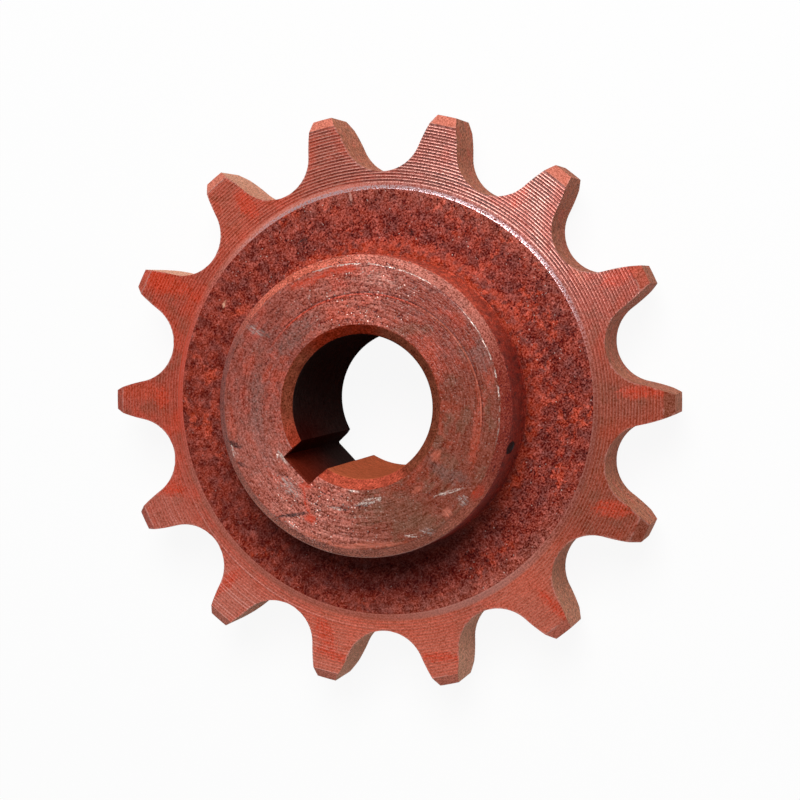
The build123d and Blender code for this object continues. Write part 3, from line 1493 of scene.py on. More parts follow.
    def worn_lit_edges(self, sheet: Sheet, spot: Spot, from_gap: Socket, bevel: float) -> Socket:
        """A mask of the edges of the teeth that handling has worn, which is also painted as a highlight along
        them.

        Args:
            sheet: the material's tree.
            spot: the point on the sprocket.
            from_gap: how far it is from the nearest gap's wall, in millimetres.
            bevel: the radius of the tip bevel's inner edge, in millimetres.

        Returns:
            The mask.
        """
        from_bevel = sheet.less(spot.radius, bevel)
        sides = sheet.effect(EdgeWear(), Place=spot.place, Distance=from_gap, Width=0.3, Amount=0.5)
        tips = sheet.effect(EdgeWear(), Place=spot.place, Distance=from_bevel, Width=0.25, Amount=0.5)
        return sheet.most(sides["Mask"], tips["Mask"])


@dataclass(frozen=True)
class ForgedWeb(Finish):
    """The web as forged: scale and pits under primer that took unevenly, with the hub's shadow painted beside
    it.
    """

    blank: Blank
    title: str = "forged_web"
    gloss: float = 0.1
    aside: tuple[float, float, float] = (9.1, -33.0, 4.7)
    warm_side: Stretch = Stretch(140.0, 46.0, 50.0)
    upper_half: Stretch = Stretch(190.0, 90.0, 40.0)
    calm_side: Stretch = Stretch(0.0, 80.0, 50.0)
    # Painted shadow of the hub on the web, in the scale's dark red, mostly on the side away from the lamp.
    hub_shadow_tints: tuple[Tint, ...] = (
        Tint(Tone.SCALE, 42.0, 44.0, 60.0, 0.62),
        Tint(Tone.SCALE, 138.0, 30.0, 40.0, 0.28),
    )
    rim_tints: tuple[Tint, ...] = (
        Tint(Tone.DULL_PINK, 78.0, 30.0, 40.0, 0.3),
        Tint(Tone.DULL_PINK, 208.0, 40.0, 40.0, 0.25),
    )
    dabs: tuple[Mark, ...] = (
        Mark(Tone.FORGED_ORANGE, 39.5, 307.9, 2.6, 1.7, 60, streaks=0.3),
        Mark(Tone.FORGED_ORANGE, 37.4, 284.1, 2.6, 1.3, 60, streaks=0.3),
        Mark(Tone.FORGED_ORANGE, 40.2, 325.0, 2.6, 1.5, 90, streaks=0.5),
        Mark(Tone.FORGED_ORANGE, 38.3, 317.2, 1.8, 1.2, 90, streaks=0.5),
    )
    # Paint chips, and pits: the ink marks are pits drawn as painted shade, and the small cream dab beside one
    # is its painted highlight.
    chips_and_pit_shading: tuple[Mark, ...] = (
        Mark(Tone.CREAM_PRIMER, 41.4, 285.4, 1.3, 0.5, 100, streaks=0.0),
        Mark(Tone.ROSE, 44.6, 234.6, 2.0, 0.4, 0, streaks=0.3),
        Mark(Tone.INK, 38.8, 252.6, 1.9, 1.1, 90, streaks=0.5),
        Mark(Tone.CREAM_PRIMER, 39.2, 253.6, 0.5, 0.4, 90, streaks=0.0),
        Mark(Tone.INK, 36.7, 215.2, 1.6, 1.0, 60, streaks=0.6),
        Mark(Tone.ROSE, 37.8, 232.6, 0.5, 0.45, 90, streaks=0.0),
        Mark(Tone.ROSE, 37.7, 238.9, 0.5, 0.4, 90, streaks=0.0),
    )

    def surface(self, sheet: Sheet, spot: Spot) -> Surface:
        """Lays out the finish, as Finish.surface says."""
        front = self.blank.rim_front / MM
        moved = sheet.vector("ADD", spot.place, self.aside)
        crumbs = sheet.noise(spot.place, 1.0, 2.0, 0.6, 2.2)
        grit = sheet.noise(moved, 2.7, 1.0, 0.6)
        rough = sheet.rest(sheet.product(sheet.rise(spot.radius, 34.9, 33.9), 0.45))
        calm = self.calm_side.mask(sheet, spot.angle)
        colour = self.paint(sheet, spot, moved)
        for dab in self.dabs:
            colour = dab.lay(sheet, spot.place, front, 1.0, colour)
        contrast = sheet.blend(calm, 0.22, 0.12)
        grain = sheet.effect(Speckle(), Place=spot.place, Grain=2.7, Contrast=contrast, Flecks=0.05)
        deep = sheet.product(sheet.rise(crumbs, 0.44, 0.74), rough, 0.7)
        colour = sheet.mix(deep, colour, Tone.SCALE)
        raised = sheet.product(sheet.most(sheet.less(0.5, crumbs), 0.0), 2.6)
        gritty = sheet.product(sheet.less(grit, 0.5), sheet.blend(calm, 2.0, 1.1))
        blotchy = sheet.product(sheet.less(sheet.noise(moved, 0.42, 3.0, 0.6), 0.53), 1.0)
        swing = sheet.total(sheet.total(raised, gritty), blotchy)
        factor = sheet.total(grain["Factor"], sheet.product(swing, rough))
        colour = sheet.shade(colour, sheet.most(factor, 0.2))
        for chip_or_pit in self.chips_and_pit_shading:
            colour = chip_or_pit.lay(sheet, spot.place, front, 1.0, colour)
        bright = sheet.blend(calm, 0.6, 0.2)
        glint = sheet.product(grain["Fleck"], sheet.rise(crumbs, 0.5, 0.56), rough, bright)
        colour = sheet.mix(glint, colour, Tone.STEEL)
        height = sheet.less(sheet.product(grit, 0.06), sheet.product(crumbs, 0.10))
        height = sheet.total(sheet.product(height, rough), sheet.product(grain["Height"], 0.01))
        return Surface(colour, 0.45, sheet.product(glint, 0.6), height)

    def paint(self, sheet: Sheet, spot: Spot, moved: Socket) -> Socket:
        """The primer on the scale, brighter where it is thick, with the hub's shadow painted beside it.

        Args:
            sheet: the material's tree.
            spot: the point on the sprocket.
            moved: its place, shifted aside for patterns that shouldn't match the others.

        Returns:
            The primer's colour.
        """
        blobs = sheet.noise(spot.place, 0.33, 2.0, 0.6)
        colour = sheet.mix(sheet.rise(blobs, 0.38, 0.64), Tone.FORGED_RED, Tone.FORGED_MAROON)
        broad = sheet.noise(spot.place, 0.11, 3.0, 0.6)
        splash = sheet.noise(moved, 0.6, 2.0, 0.6)
        warm = self.warm_side.mask(sheet, spot.angle)
        patchy = sheet.rise(sheet.total(broad, sheet.product(warm, 0.05)), 0.54, 0.66)
        orange = sheet.product(patchy, sheet.rise(splash, 0.48, 0.6), sheet.blend(warm, 0.7, 0.95))
        at_fillet = sheet.rise(spot.radius, 36.4, 34.0)
        upper = self.upper_half.mask(sheet, spot.angle)
        fillet = sheet.product(at_fillet, upper, sheet.rise(splash, 0.42, 0.56), 0.65)
        colour = sheet.mix(sheet.most(orange, fillet), colour, Tone.FORGED_ORANGE)
        # Painted shadow that the hub casts on the web, fading outwards.
        in_hub_shadow = sheet.rise(spot.radius, 45.0, 38.5)
        colour = lay_tints(sheet, self.hub_shadow_tints, spot.angle, in_hub_shadow, colour)
        beside_rim = sheet.rise(spot.radius, 41.0, 45.0)
        return lay_tints(sheet, self.rim_tints, spot.angle, beside_rim, colour)


@dataclass(frozen=True)
class TurnedHub(Finish):
    """The hub and the boss: finely turned, thinly primed, with scuffs, knocks and a worn edge, and painted
    highlights, glints and shade where the lamp falls.
    """

    blank: Blank
    title: str = "turned_hub"
    gloss: float = 0.3
    ridge_radius: float = 24.4
    ridge_shift: tuple[float, float, float] = (-0.14, 1.67, 0.0)
    ridge_kept: Stretch = Stretch(200.0, 74.0, 26.0)
    ridge_pale_highlight: Stretch = Stretch(160.0, 36.0, 20.0)
    brown_side: Stretch = Stretch(98.0, 62.0, 40.0)
    glancing_above: Stretch = Stretch(228.0, 24.0, 50.0)
    glancing_below: Stretch = Stretch(22.0, 24.0, 44.0)
    sunlit_side: Stretch = Stretch(206.0, 38.0, 36.0)
    low_side: Stretch = Stretch(34.0, 40.0, 30.0)
    worn_and_lit_right: Stretch = Stretch(151.0, 25.0, 16.0)
    worn_and_lit_top: Stretch = Stretch(220.0, 26.0, 10.0)
    # The rose tint on the lower side is a painted highlight, where the turning marks throw the lamp's light
    # back.
    face_tints: tuple[Tint, ...] = (
        Tint(Tone.DUSTY_PRIMER, 300.0, 44.0, 40.0, 0.25),
        Tint(Tone.NOSE_ROSE, 4.0, 40.0, 50.0, 0.25),
    )
    nose_tints: tuple[Tint, ...] = (
        Tint(Tone.CHAMFER_RED, 124.0, 42.0, 26.0, 0.95),
        Tint(Tone.NOSE_ROSE, 198.0, 36.0, 40.0, 0.5),
        Tint(Tone.NOSE_ORANGE, 256.0, 26.0, 30.0, 0.8),
        Tint(Tone.NOSE_BROWN, 316.0, 24.0, 30.0, 0.75),
        Tint(Tone.NOSE_TAN, 42.0, 58.0, 40.0, 0.8),
    )
    stains: tuple[Mark, ...] = (
        Mark(Tone.SIDE_ORANGE, 25.2, 125.0, 9.0, 1.3, 92, streaks=0.4),
        Mark(Tone.SIDE_ORANGE, 25.4, 143.0, 4.0, 0.8, 92, streaks=0.5),
        Mark(Tone.SIDE_ORANGE, 27.9, 151.0, 4.5, 1.6, 90, streaks=0.5),
        Mark(Tone.SIDE_ORANGE, 19.2, 174.0, 3.0, 2.8, 90, streaks=0.3),
        Mark(Tone.SIDE_ORANGE, 20.4, 238.0, 4.5, 3.0, 90, streaks=0.6),
        Mark(Tone.SIDE_ORANGE, 28.1, 324.0, 4.5, 1.1, 90, streaks=0.5),
        Mark(Tone.SIDE_ORANGE, 25.5, 296.0, 3.0, 1.4, 90, streaks=0.4),
        Mark(Tone.SIDE_ORANGE, 21.2, 297.0, 3.0, 0.9, 80, streaks=0.4),
        Mark(Tone.OLIVE_PRIMER, 23.0, 68.0, 12.0, 5.0, 45, streaks=0.3),
        Mark(Tone.OLIVE_PRIMER, 19.4, 191.0, 5.0, 1.6, 130, streaks=0.3),
        Mark(Tone.WORN_GREY, 27.9, 157.5, 4.5, 2.0, 90, streaks=0.4),
        Mark(Tone.WORN_GREY, 21.8, 99.0, 4.6, 1.6, 0, streaks=0.4),
        Mark(Tone.WORN_GREY, 25.2, 102.5, 3.0, 1.4, 0, streaks=0.4),
        Mark(Tone.WORN_GREY, 20.2, 268.0, 8.0, 2.6, 90, streaks=0.5),
        Mark(Tone.WORN_GREY, 22.3, 312.0, 8.0, 1.7, 92, streaks=0.5),
        Mark(Tone.DUSTY_PRIMER, 22.6, 334.0, 9.0, 1.8, 92, streaks=0.6),
        Mark(Tone.ROSE, 26.8, 216.0, 4.4, 2.2, 90),
    )
    marks: tuple[Mark, ...] = (
        Mark(Tone.GREY_STEEL, 27.7, 280.9, 2.4, 1.0, 6, 0.4, 0.9),
        Mark(Tone.WORN_GREY, 25.6, 279.5, 2.0, 0.8, 10, streaks=0.8),
        Mark(Tone.GREY_STEEL, 22.7, 4.0, 3.6, 1.5, 90, 0.15),
        Mark(Tone.GREY_STEEL, 29.0, 17.0, 3.0, 0.4, 90, 0.6),
        Mark(Tone.INK, 26.8, 13.2, 4.0, 0.5, 132, streaks=0.3),
        Mark(Tone.INK, 21.3, 36.0, 2.8, 0.8, 96, streaks=0.8),
        Mark(Tone.STEEL, 21.6, 32.6, 1.5, 0.4, 96, 0.5),
        Mark(Tone.INK, 20.2, 47.5, 2.4, 0.6, 100, streaks=0.8),
        Mark(Tone.STEEL, 19.6, 51.5, 3.6, 0.8, 104, 0.6),
        Mark(Tone.STEEL, 17.4, 41.5, 1.2, 0.3, 90, 0.6, 0.4),
        Mark(Tone.STEEL, 28.5, 68.6, 1.8, 0.4, 70, 0.5),
        Mark(Tone.GREY_STEEL, 29.2, 75.5, 1.8, 1.0, 60, 0.4),
        Mark(Tone.TIP_SALMON, 28.2, 86.8, 1.3, 1.2, 0, streaks=0.6),
        Mark(Tone.STEEL, 25.4, 93.3, 3.4, 0.4, 60, 0.4, 0.9),
        Mark(Tone.GREY_STEEL, 28.8, 95.2, 1.6, 1.3, 0, 0.5),
        Mark(Tone.SALMON_PRIMER, 20.7, 82.0, 1.6, 0.7, 90, streaks=0.5),
        Mark(Tone.SALMON_PRIMER, 18.9, 105.0, 1.6, 1.2, 90, streaks=0.5),
        Mark(Tone.FRESH_PRIMER, 25.7, 21.0, 1.5, 1.3, 90, streaks=0.2),
        Mark(Tone.FRESH_PRIMER, 22.8, 14.8, 4.6, 0.7, 48, streaks=0.8),
        Mark(Tone.FRESH_PRIMER, 20.0, 10.6, 1.8, 1.1, 120, streaks=0.6),
        Mark(Tone.FRESH_PRIMER, 30.4, 101.0, 2.6, 1.3, 90, streaks=0.4),
        Mark(Tone.SALMON_PRIMER, 28.5, 50.0, 9.0, 0.8, 90, streaks=0.6),
        Mark(Tone.SALMON_PRIMER, 28.8, 28.0, 9.0, 0.5, 90),
        Mark(Tone.FRESH_PRIMER, 28.5, 233.0, 3.8, 0.9, 90, streaks=0.4),
        Mark(Tone.FRESH_PRIMER, 28.2, 247.0, 6.5, 1.2, 90, streaks=0.6),
        Mark(Tone.INK, 28.4, 332.5, 2.4, 0.7, 139, streaks=0.3),
        Mark(Tone.STEEL, 29.2, 335.5, 1.8, 0.4, 90, 0.6),
        Mark(Tone.INK, 28.7, 341.0, 1.6, 0.5, 130, streaks=0.4),
        Mark(Tone.STEEL, 19.8, 349.0, 2.2, 0.4, 94, 1.0, 0.5),
        Mark(Tone.STEEL, 20.3, 345.6, 1.0, 0.7, 60, 0.6),
    )

    def surface(self, sheet: Sheet, spot: Spot) -> Surface:
        """Lays out the finish, as Finish.surface says."""
        hub = self.blank.hub_radius / MM
        edge = (self.blank.hub_radius - self.blank.nose_chamfer_width) / MM
        face = self.blank.hub_face / MM
        foot = (self.blank.hub_face - self.blank.nose_chamfer_length) / MM
        brown_side = self.brown_side.mask(sheet, spot.angle)
        above = self.glancing_above.mask(sheet, spot.angle)
        glancing = sheet.most(above, self.glancing_below.mask(sheet, spot.angle))
        colour = self.paint(sheet, spot, brown_side, glancing)
        off_bore = sheet.rise(spot.radius, edge + 0.05, edge + 0.25)
        chamfer = sheet.product(off_bore, sheet.rise(spot.height, 30.0, 33.0))
        colour = lay_tints(sheet, self.nose_tints, spot.angle, chamfer, colour)
        outermost = sheet.rise(spot.radius, hub - 0.2, hub - 0.05)
        on_side = sheet.product(outermost, sheet.between(spot.height, 20.0, foot - 0.1, 0.4))
        colour = sheet.mix(on_side, colour, self.side_paint(sheet, spot))
        on_face = sheet.rise(spot.height, face - 4.0, face - 3.0)
        for stain in self.stains:
            mask = stain.mask(sheet, spot.place, face, on_face)
            colour = sheet.mix(sheet.product(mask, 0.55), colour, stain.tone)
        # The ridge's crest is painted as a highlight, paler in one stretch, and the line at its foot as
        # painted shade.
        crest, ridge_shade = self.ridge(sheet, spot)
        ridge_pale_highlight = self.ridge_pale_highlight.mask(sheet, spot.angle)
        ridge_highlight_tone = sheet.mix(ridge_pale_highlight, Tone.FRESH_PRIMER, Tone.SALMON_PRIMER)
        colour = sheet.mix(sheet.product(crest, 0.6), colour, ridge_highlight_tone)
        colour = sheet.mix(sheet.product(ridge_shade, 0.6), colour, Tone.DARK_PRIMER)
        streaks = self.streaks(sheet, spot)
        off_face = sheet.most(chamfer, on_side)
        plain = sheet.blend(brown_side, 0.28, 0.19)
        contrast = sheet.total(sheet.blend(glancing, plain, 0.46), sheet.product(off_face, 0.12))
        grain = sheet.effect(Speckle(), Place=spot.place, Grain=2.8, Contrast=contrast, Flecks=0.10)
        # The turning streaks are shaded more strongly in the glancing stretches, as a painted highlight.
        streaky = sheet.product(streaks, sheet.blend(glancing, 0.6, 1.1))
        colour = sheet.shade(colour, sheet.total(grain["Factor"], streaky))
        # The worn front edge is bare steel and also a painted highlight where it catches the lamp; the flecks
        # are painted glints, strongest in the glancing stretches.
        worn_and_lit = self.worn_lit_edge(sheet, spot, edge, face)
        flecks = sheet.product(grain["Fleck"], sheet.blend(glancing, 0.15, 0.8))
        bare = sheet.most(flecks, sheet.product(worn_and_lit, 0.8))
        colour = sheet.mix(bare, colour, Tone.STEEL)
        off_outer = sheet.less(spot.radius, hub - 0.15)
        outer = sheet.effect(EdgeWear(), Place=spot.place, Distance=off_outer, Width=0.14, Amount=0.75)
        low_side = self.low_side.mask(sheet, spot.angle)
        colour = sheet.mix(sheet.product(outer["Mask"], chamfer, low_side, 0.6), colour, Tone.ROSE)
        # The inside of the gouge is painted black as shade.
        gouge_shade = sheet.product(
            sheet.rise(spot.radius, hub - 0.05, hub - 0.2),
            sheet.rise(spot.radius, 28.0, 29.0),
            sheet.between(spot.height, 28.0, foot - 0.3, 0.2),
        )
        colour = sheet.mix(gouge_shade, colour, Tone.INK)
        for mark in self.marks:
            colour = mark.lay(sheet, spot.place, face, on_face, colour)
            if mark.bare:
                bare = sheet.blend(mark.mask(sheet, spot.place, face, on_face), bare, mark.bare)
        height = sheet.total(sheet.product(streaks, 0.16), sheet.product(grain["Height"], 0.02))
        height = sheet.total(height, sheet.product(crest, 0.12))
        return Surface(colour, sheet.blend(off_face, 0.36, 0.6), bare, height)

    def paint(self, sheet: Sheet, spot: Spot, brown_side: Socket, glancing: Socket) -> Socket:
        """The primer on the nose's face, before its stains and marks.

        Args:
            sheet: the material's tree.
            spot: the point on the sprocket.
            brown_side: a mask of the browner side.
            glancing: a mask of the stretches that throw the lamp's light back.

        Returns:
            The primer's colour.
        """
        arcs = sheet.vector("ADD", spot.place, sheet.scaled(spot.lathe, 2.2))
        coat = sheet.effect(
            PrimerCoat(),
            Place=arcs,
            Base=Tone.PRIMER,
            Thick=Tone.FRESH_PRIMER,
            Dark=Tone.MAROON_PRIMER,
            Patches=0.12,
            Thick_amount=0.35,
            Dark_amount=0.8,
        )
        colour = sheet.mix(sheet.product(brown_side, 0.8), coat["Color"], Tone.HUB_BROWN)
        colour = lay_tints(sheet, self.face_tints, spot.angle, 1.0, colour)
        # Rose turning marks in the glancing stretches are a painted highlight of the lamp.
        turned = sheet.rise(sheet.noise(spot.lathe, 0.9, 3.0, 0.7), 0.3, 0.66)
        colour = sheet.mix(sheet.product(glancing, turned, 0.5), colour, Tone.NOSE_ROSE)
        dull = sheet.rise(sheet.noise(arcs, 0.14, 3.0, 0.6), 0.5, 0.62)
        dull = sheet.product(dull, sheet.blend(brown_side, 0.1, 0.5))
        colour = sheet.mix(dull, colour, Tone.OLIVE_PRIMER)
        by_bore = sheet.rise(spot.radius, 23.0, 19.0)
        glow = sheet.product(by_bore, sheet.rise(sheet.noise(arcs, 0.25, 1.5, 0.5), 0.46, 0.62), 0.3)
        return sheet.mix(glow, colour, Tone.SIDE_ORANGE)

    def side_paint(self, sheet: Sheet, spot: Spot) -> Socket:
        """The primer down the hub's side, in drips, and redder where the lamp reaches it."""
        colour = sheet.mix(self.sunlit_side.mask(sheet, spot.angle), Tone.SIDE_PRIMER, Tone.SIDE_ORANGE)
        drips = sheet.noise(sheet.vector("MULTIPLY", spot.place, (1.0, 1.0, 0.25)), 0.9, 3.0, 0.7)
        return sheet.shade(colour, sheet.total(sheet.product(drips, 2.8), -0.4), 0.0)

    def streaks(self, sheet: Sheet, spot: Spot) -> Socket:
        """The fine turning marks round the bore, short ones and long ones, about 0."""
        long_marks = sheet.vector("MULTIPLY", spot.lathe, (0.35, 0.35, 1.0))
        return sheet.total(
            sheet.swing(spot.lathe, 1.9, 2.0, 0.7),
            sheet.product(sheet.swing(long_marks, 2.6, 1.0, 0.6), 0.8),
        )

    def ridge(self, sheet: Sheet, spot: Spot) -> tuple[Socket, Socket]:
        """The low round ridge off the bore's axis, which an earlier facing cut left on the nose.

        Args:
            sheet: the material's tree.
            spot: the point on the sprocket.

        Returns:
            Masks of its crest, painted as a highlight, and of the line at its foot, painted as shade.
        """
        flat = sheet.vector("MULTIPLY", spot.place, (1.0, 1.0, 0.0))
        off = sheet.vector("SUBTRACT", flat, self.ridge_shift)
        away = sheet.less(sheet.vector("LENGTH", off), self.ridge_radius)
        x, y, _ = sheet.split(off)
        kept = self.ridge_kept.mask(sheet, sheet.bearing(x, y))
        kept = sheet.product(kept, sheet.rise(sheet.noise(spot.place, 0.5, 2.0, 0.6), 0.24, 0.42))
        crest = sheet.product(sheet.between(away, -0.16, 0.10, 0.16), kept)
        return crest, sheet.product(sheet.between(away, 0.26, 0.42, 0.16), kept)

    def worn_lit_edge(self, sheet: Sheet, spot: Spot, edge: float, face: float) -> Socket:
        """The bare line along the nose's front edge, where most of the knocks fell, and a painted highlight
        where the edge catches the lamp.

        Args:
            sheet: the material's tree.
            spot: the point on the sprocket.
            edge: the radius of the edge, in millimetres.
            face: the height of the nose's face, in millimetres.

        Returns:
            The line's mask.
        """
        off_edge = sheet.less(spot.radius, edge)
        line = sheet.effect(EdgeWear(), Place=spot.place, Distance=off_edge, Width=0.13, Amount=0.5)
        right = self.worn_and_lit_right.mask(sheet, spot.angle)
        top = self.worn_and_lit_top.mask(sheet, spot.angle)
        upper = sheet.rise(spot.height, face - 1.2, face - 0.7)
        return sheet.product(line["Mask"], sheet.most(right, top), upper)


@dataclass(frozen=True)
class BoredSteel(Finish):
    """The bore and the keyway: dark oiled steel, darkened further with painted shade and redder on the
    stretch that faces the lamp, that only caught some primer at its mouths.
    """

    blank: Blank
    title: str = "bored_steel"
    gloss: float = 0.0
    low_wall: Stretch = Stretch(341.0, 16.0, 40.0)
    facing_lamp: Stretch = Stretch(62.0, 56.0, 24.0)
    chamfer_tints: tuple[Tint, ...] = (
        Tint(Tone.CHAMFER_PINK, 48.0, 34.0, 16.0, 0.85),
        Tint(Tone.BROWN_PRIMER, 146.0, 66.0, 18.0, 0.8),
        Tint(Tone.BROWN_PRIMER, 300.0, 32.0, 20.0, 0.7),
        Tint(Tone.CHAMFER_PINK, 336.0, 12.0, 20.0, 0.3),
    )

    def surface(self, sheet: Sheet, spot: Spot) -> Surface:
        """Lays out the finish, as Finish.surface says."""
        bore = self.blank.bore_radius / MM
        top = (self.blank.hub_face - self.blank.bore_chamfer_depth) / MM
        colour = self.wall_paint(sheet, spot, bore)
        on_cone = sheet.less(sheet.total(spot.radius, spot.height), 1.0)
        chamfer = sheet.product(
            sheet.rise(spot.height, top - 0.05, top + 0.1),
            sheet.rise(on_cone, bore + top - 1.0, bore + top - 0.8),
        )
        colour = self.chamfer_paint(sheet, spot, chamfer, colour)
        streaks = sheet.swing(spot.lathe, 1.6, 2.0, 0.7)
        contrast = sheet.blend(chamfer, 0.15, 0.4)
        grain = sheet.effect(Speckle(), Place=spot.place, Grain=2.8, Contrast=contrast, Flecks=0.03)
        factor = sheet.total(grain["Factor"], sheet.product(streaks, 0.9))
        colour = sheet.shade(colour, factor, 0.01)
        height = sheet.total(sheet.product(streaks, 0.05), sheet.product(grain["Height"], 0.01))
        return Surface(colour, 0.7, 0.0, height)

    def wall_paint(self, sheet: Sheet, spot: Spot, bore: float) -> Socket:
        """The colour of the bore's wall and of the keyway, with painted shade inside and painted light on the
        stretch that faces the lamp.

        Args:
            sheet: the material's tree.
            spot: the point on the sprocket.
            bore: the bore's radius, in millimetres.

        Returns:
            The colour.
        """
        # The bore's wall is painted near-black as shade, and the stretch facing the lamp redder as painted
        # light.
        reddish = sheet.product(self.low_wall.mask(sheet, spot.angle), sheet.rise(spot.height, 6.0, 34.0))
        colour = sheet.mix(reddish, Tone.BORE_BLACK, Tone.BORE_DARK_RED)
        in_bore = sheet.rest(sheet.rise(spot.radius, bore + 0.2, bore + 0.6))
        facing_lamp = self.facing_lamp.mask(sheet, spot.angle)
        colour = sheet.mix(sheet.product(facing_lamp, in_bore), colour, Tone.BORE_RED)
        towards_keyway = sheet.vector("DOT_PRODUCT", spot.place, (1.0, 0.0, 0.0))
        on_floor = sheet.rise(towards_keyway, 18.6, 18.8)
        near_nose = sheet.rise(spot.height, 8.0, self.blank.hub_face / MM)
        return sheet.mix(sheet.product(on_floor, near_nose, 0.75), colour, Tone.CHAMFER_RED)

    def chamfer_paint(self, sheet: Sheet, spot: Spot, chamfer: Socket, colour: Socket) -> Socket:
        """Lays the primer of the bore's front chamfer over the bore's colour.

        Args:
            sheet: the material's tree.
            spot: the point on the sprocket.
            chamfer: a mask of the chamfer.
            colour: the colour so far.

        Returns:
            The colour with the chamfer's.
        """
        colour = sheet.mix(chamfer, colour, Tone.CHAMFER_RED)
        colour = lay_tints(sheet, self.chamfer_tints, spot.angle, chamfer, colour)
        torn = sheet.product(sheet.noise(spot.place, 1.3, 3.0, 0.7), 1.6)
        mouth = (self.blank.bore_radius + self.blank.bore_chamfer_width) / MM
        past_mouth = sheet.rise(sheet.total(spot.radius, torn), mouth + 0.5, mouth + 0.9)
        colour = sheet.mix(sheet.product(chamfer, past_mouth, 0.6), colour, Tone.PRIMER)
        mottled = sheet.rise(sheet.noise(spot.place, 0.7, 4.0, 0.75), 0.48, 0.62)
        return sheet.mix(sheet.product(chamfer, mottled, 0.45), colour, Tone.DARK_PRIMER)


@dataclass(frozen=True)
class GapWall(Finish):
    """The walls of the tooth gaps and the tips: smooth cut steel under a thin dusty primer."""

    title: str = "gap_wall"
    gloss: float = 0.05
    tints: tuple[Tint, ...] = (
        Tint(Tone.NOSE_BROWN, 170.0, 36.0, 40.0, 0.2),
        Tint(Tone.CREAM_PRIMER, 285.0, 26.0, 50.0, 0.8),
        Tint(Tone.CREAM_PRIMER, 48.0, 36.0, 50.0, 0.65),
    )

    def surface(self, sheet: Sheet, spot: Spot) -> Surface:
        """Lays out the finish, as Finish.surface says."""
        coat = sheet.effect(
            PrimerCoat(),
            Place=spot.place,
            Base=Tone.TAN_PRIMER,
            Thick=Tone.SALMON_PRIMER,
            Dark=Tone.OLIVE_PRIMER,
            Patches=0.32,
            Thick_amount=0.7,
            Dark_amount=0.7,
        )
        colour = lay_tints(sheet, self.tints, spot.angle, 1.0, coat["Color"])
        grain = sheet.effect(Speckle(), Place=spot.place, Grain=2.4, Contrast=0.34, Flecks=0.03)
        colour = sheet.shade(colour, grain["Factor"])
        return Surface(colour, 0.7, 0.0, sheet.product(grain["Height"], 0.012))


# ---------------------------------------------------------------- the sprocket


class Region(Enum):
    """The parts of the sprocket's skin that differ in how they were made."""

    RIM = 0
    WEB = 1
    HUB = 2
    BORE = 3
    GAP = 4


@dataclass
class Sprocket:
    """The whole sprocket: its blank, its skin, its teeth and its keyway, then its finishes."""

    name: str = "primed_sprocket"
    blank: Blank = field(default_factory=Blank)
    skin: ForgedSkin = field(default_factory=ForgedSkin)
    gaps: ToothGaps = field(default_factory=ToothGaps)
    keyway: Keyway = field(default_factory=Keyway)
    gouge: Gouge = field(default_factory=Gouge)
    smooth_below: float = math.radians(25)
    upright_walls: float = 0.35
    slanting_walls: float = 0.9
    root_margin: float = 0.5 * MM
    keyway_margin: float = 0.1 * MM
    foot_margin: float = 0.25 * MM

    def build(self) -> bpy.types.Object:
        """Models the sprocket as one closed mesh and dresses it.

        Returns:
            The sprocket's object.
        """
        piece = self.blank.build(self.name)
        log.info("blank: %d faces", len(piece.data.polygons))
        self.skin.rough(piece, self.blank)
        self.gaps.cut(piece, self.blank)
        log.info("teeth cut: %d faces", len(piece.data.polygons))
        self.keyway.cut(piece, self.blank)
        self.gouge.cut(piece, self.blank)
        log.info("keyway and gouge cut: %d faces", len(piece.data.polygons))
        self.dress(piece)
        work_on(piece)
        bpy.ops.object.shade_smooth_by_angle(angle=self.smooth_below)
        return piece

    def region(self, place: Vector, normal: Vector) -> Region:
        """Says which region a face belongs to.

        Args:
            place: the face's middle.
            normal: the face's normal.

        Returns:
            Its region.
        """
        radius = reach(place)
        slope = abs(normal.z)
        if slope < self.upright_walls and radius > self.gaps.root_radius - self.root_margin:
            return Region.GAP
        if radius > self.blank.web_radius:
            return Region.RIM
        keyway_floor = self.blank.bore_radius + self.keyway.depth_at_nose + self.keyway_margin
        if slope < self.slanting_walls and radius < math.hypot(keyway_floor, self.keyway.width / 2):
            return Region.BORE
        fillet_foot = self.blank.hub_radius + self.foot_margin
        between_faces = place.z < self.blank.rim_front + self.blank.nose_fillet
        if radius > fillet_foot and between_faces:
            return Region.WEB
        return Region.HUB

    def dress(self, piece: bpy.types.Object) -> None:
        """Gives each region its finish.

        Args:
            piece: the finished mesh.
        """
        finishes = {
            Region.RIM: TurnedRim(self.blank, self.gaps),
            Region.WEB: ForgedWeb(self.blank),
            Region.HUB: TurnedHub(self.blank),
            Region.BORE: BoredSteel(self.blank),
            Region.GAP: GapWall(),
        }
        piece.data.materials.clear()
        for region in Region:
            piece.data.materials.append(finishes[region].material())
        with editing(piece, "FACE"):
            for region in Region:
                picked = pick(piece, "FACE", lambda place, normal: self.region(place, normal) is region)
                piece.active_material_index = region.value
                bpy.ops.object.material_slot_assign()
                log.info("%s: %d faces", finishes[region].title, picked)


# ---------------------------------------------------------------- studio


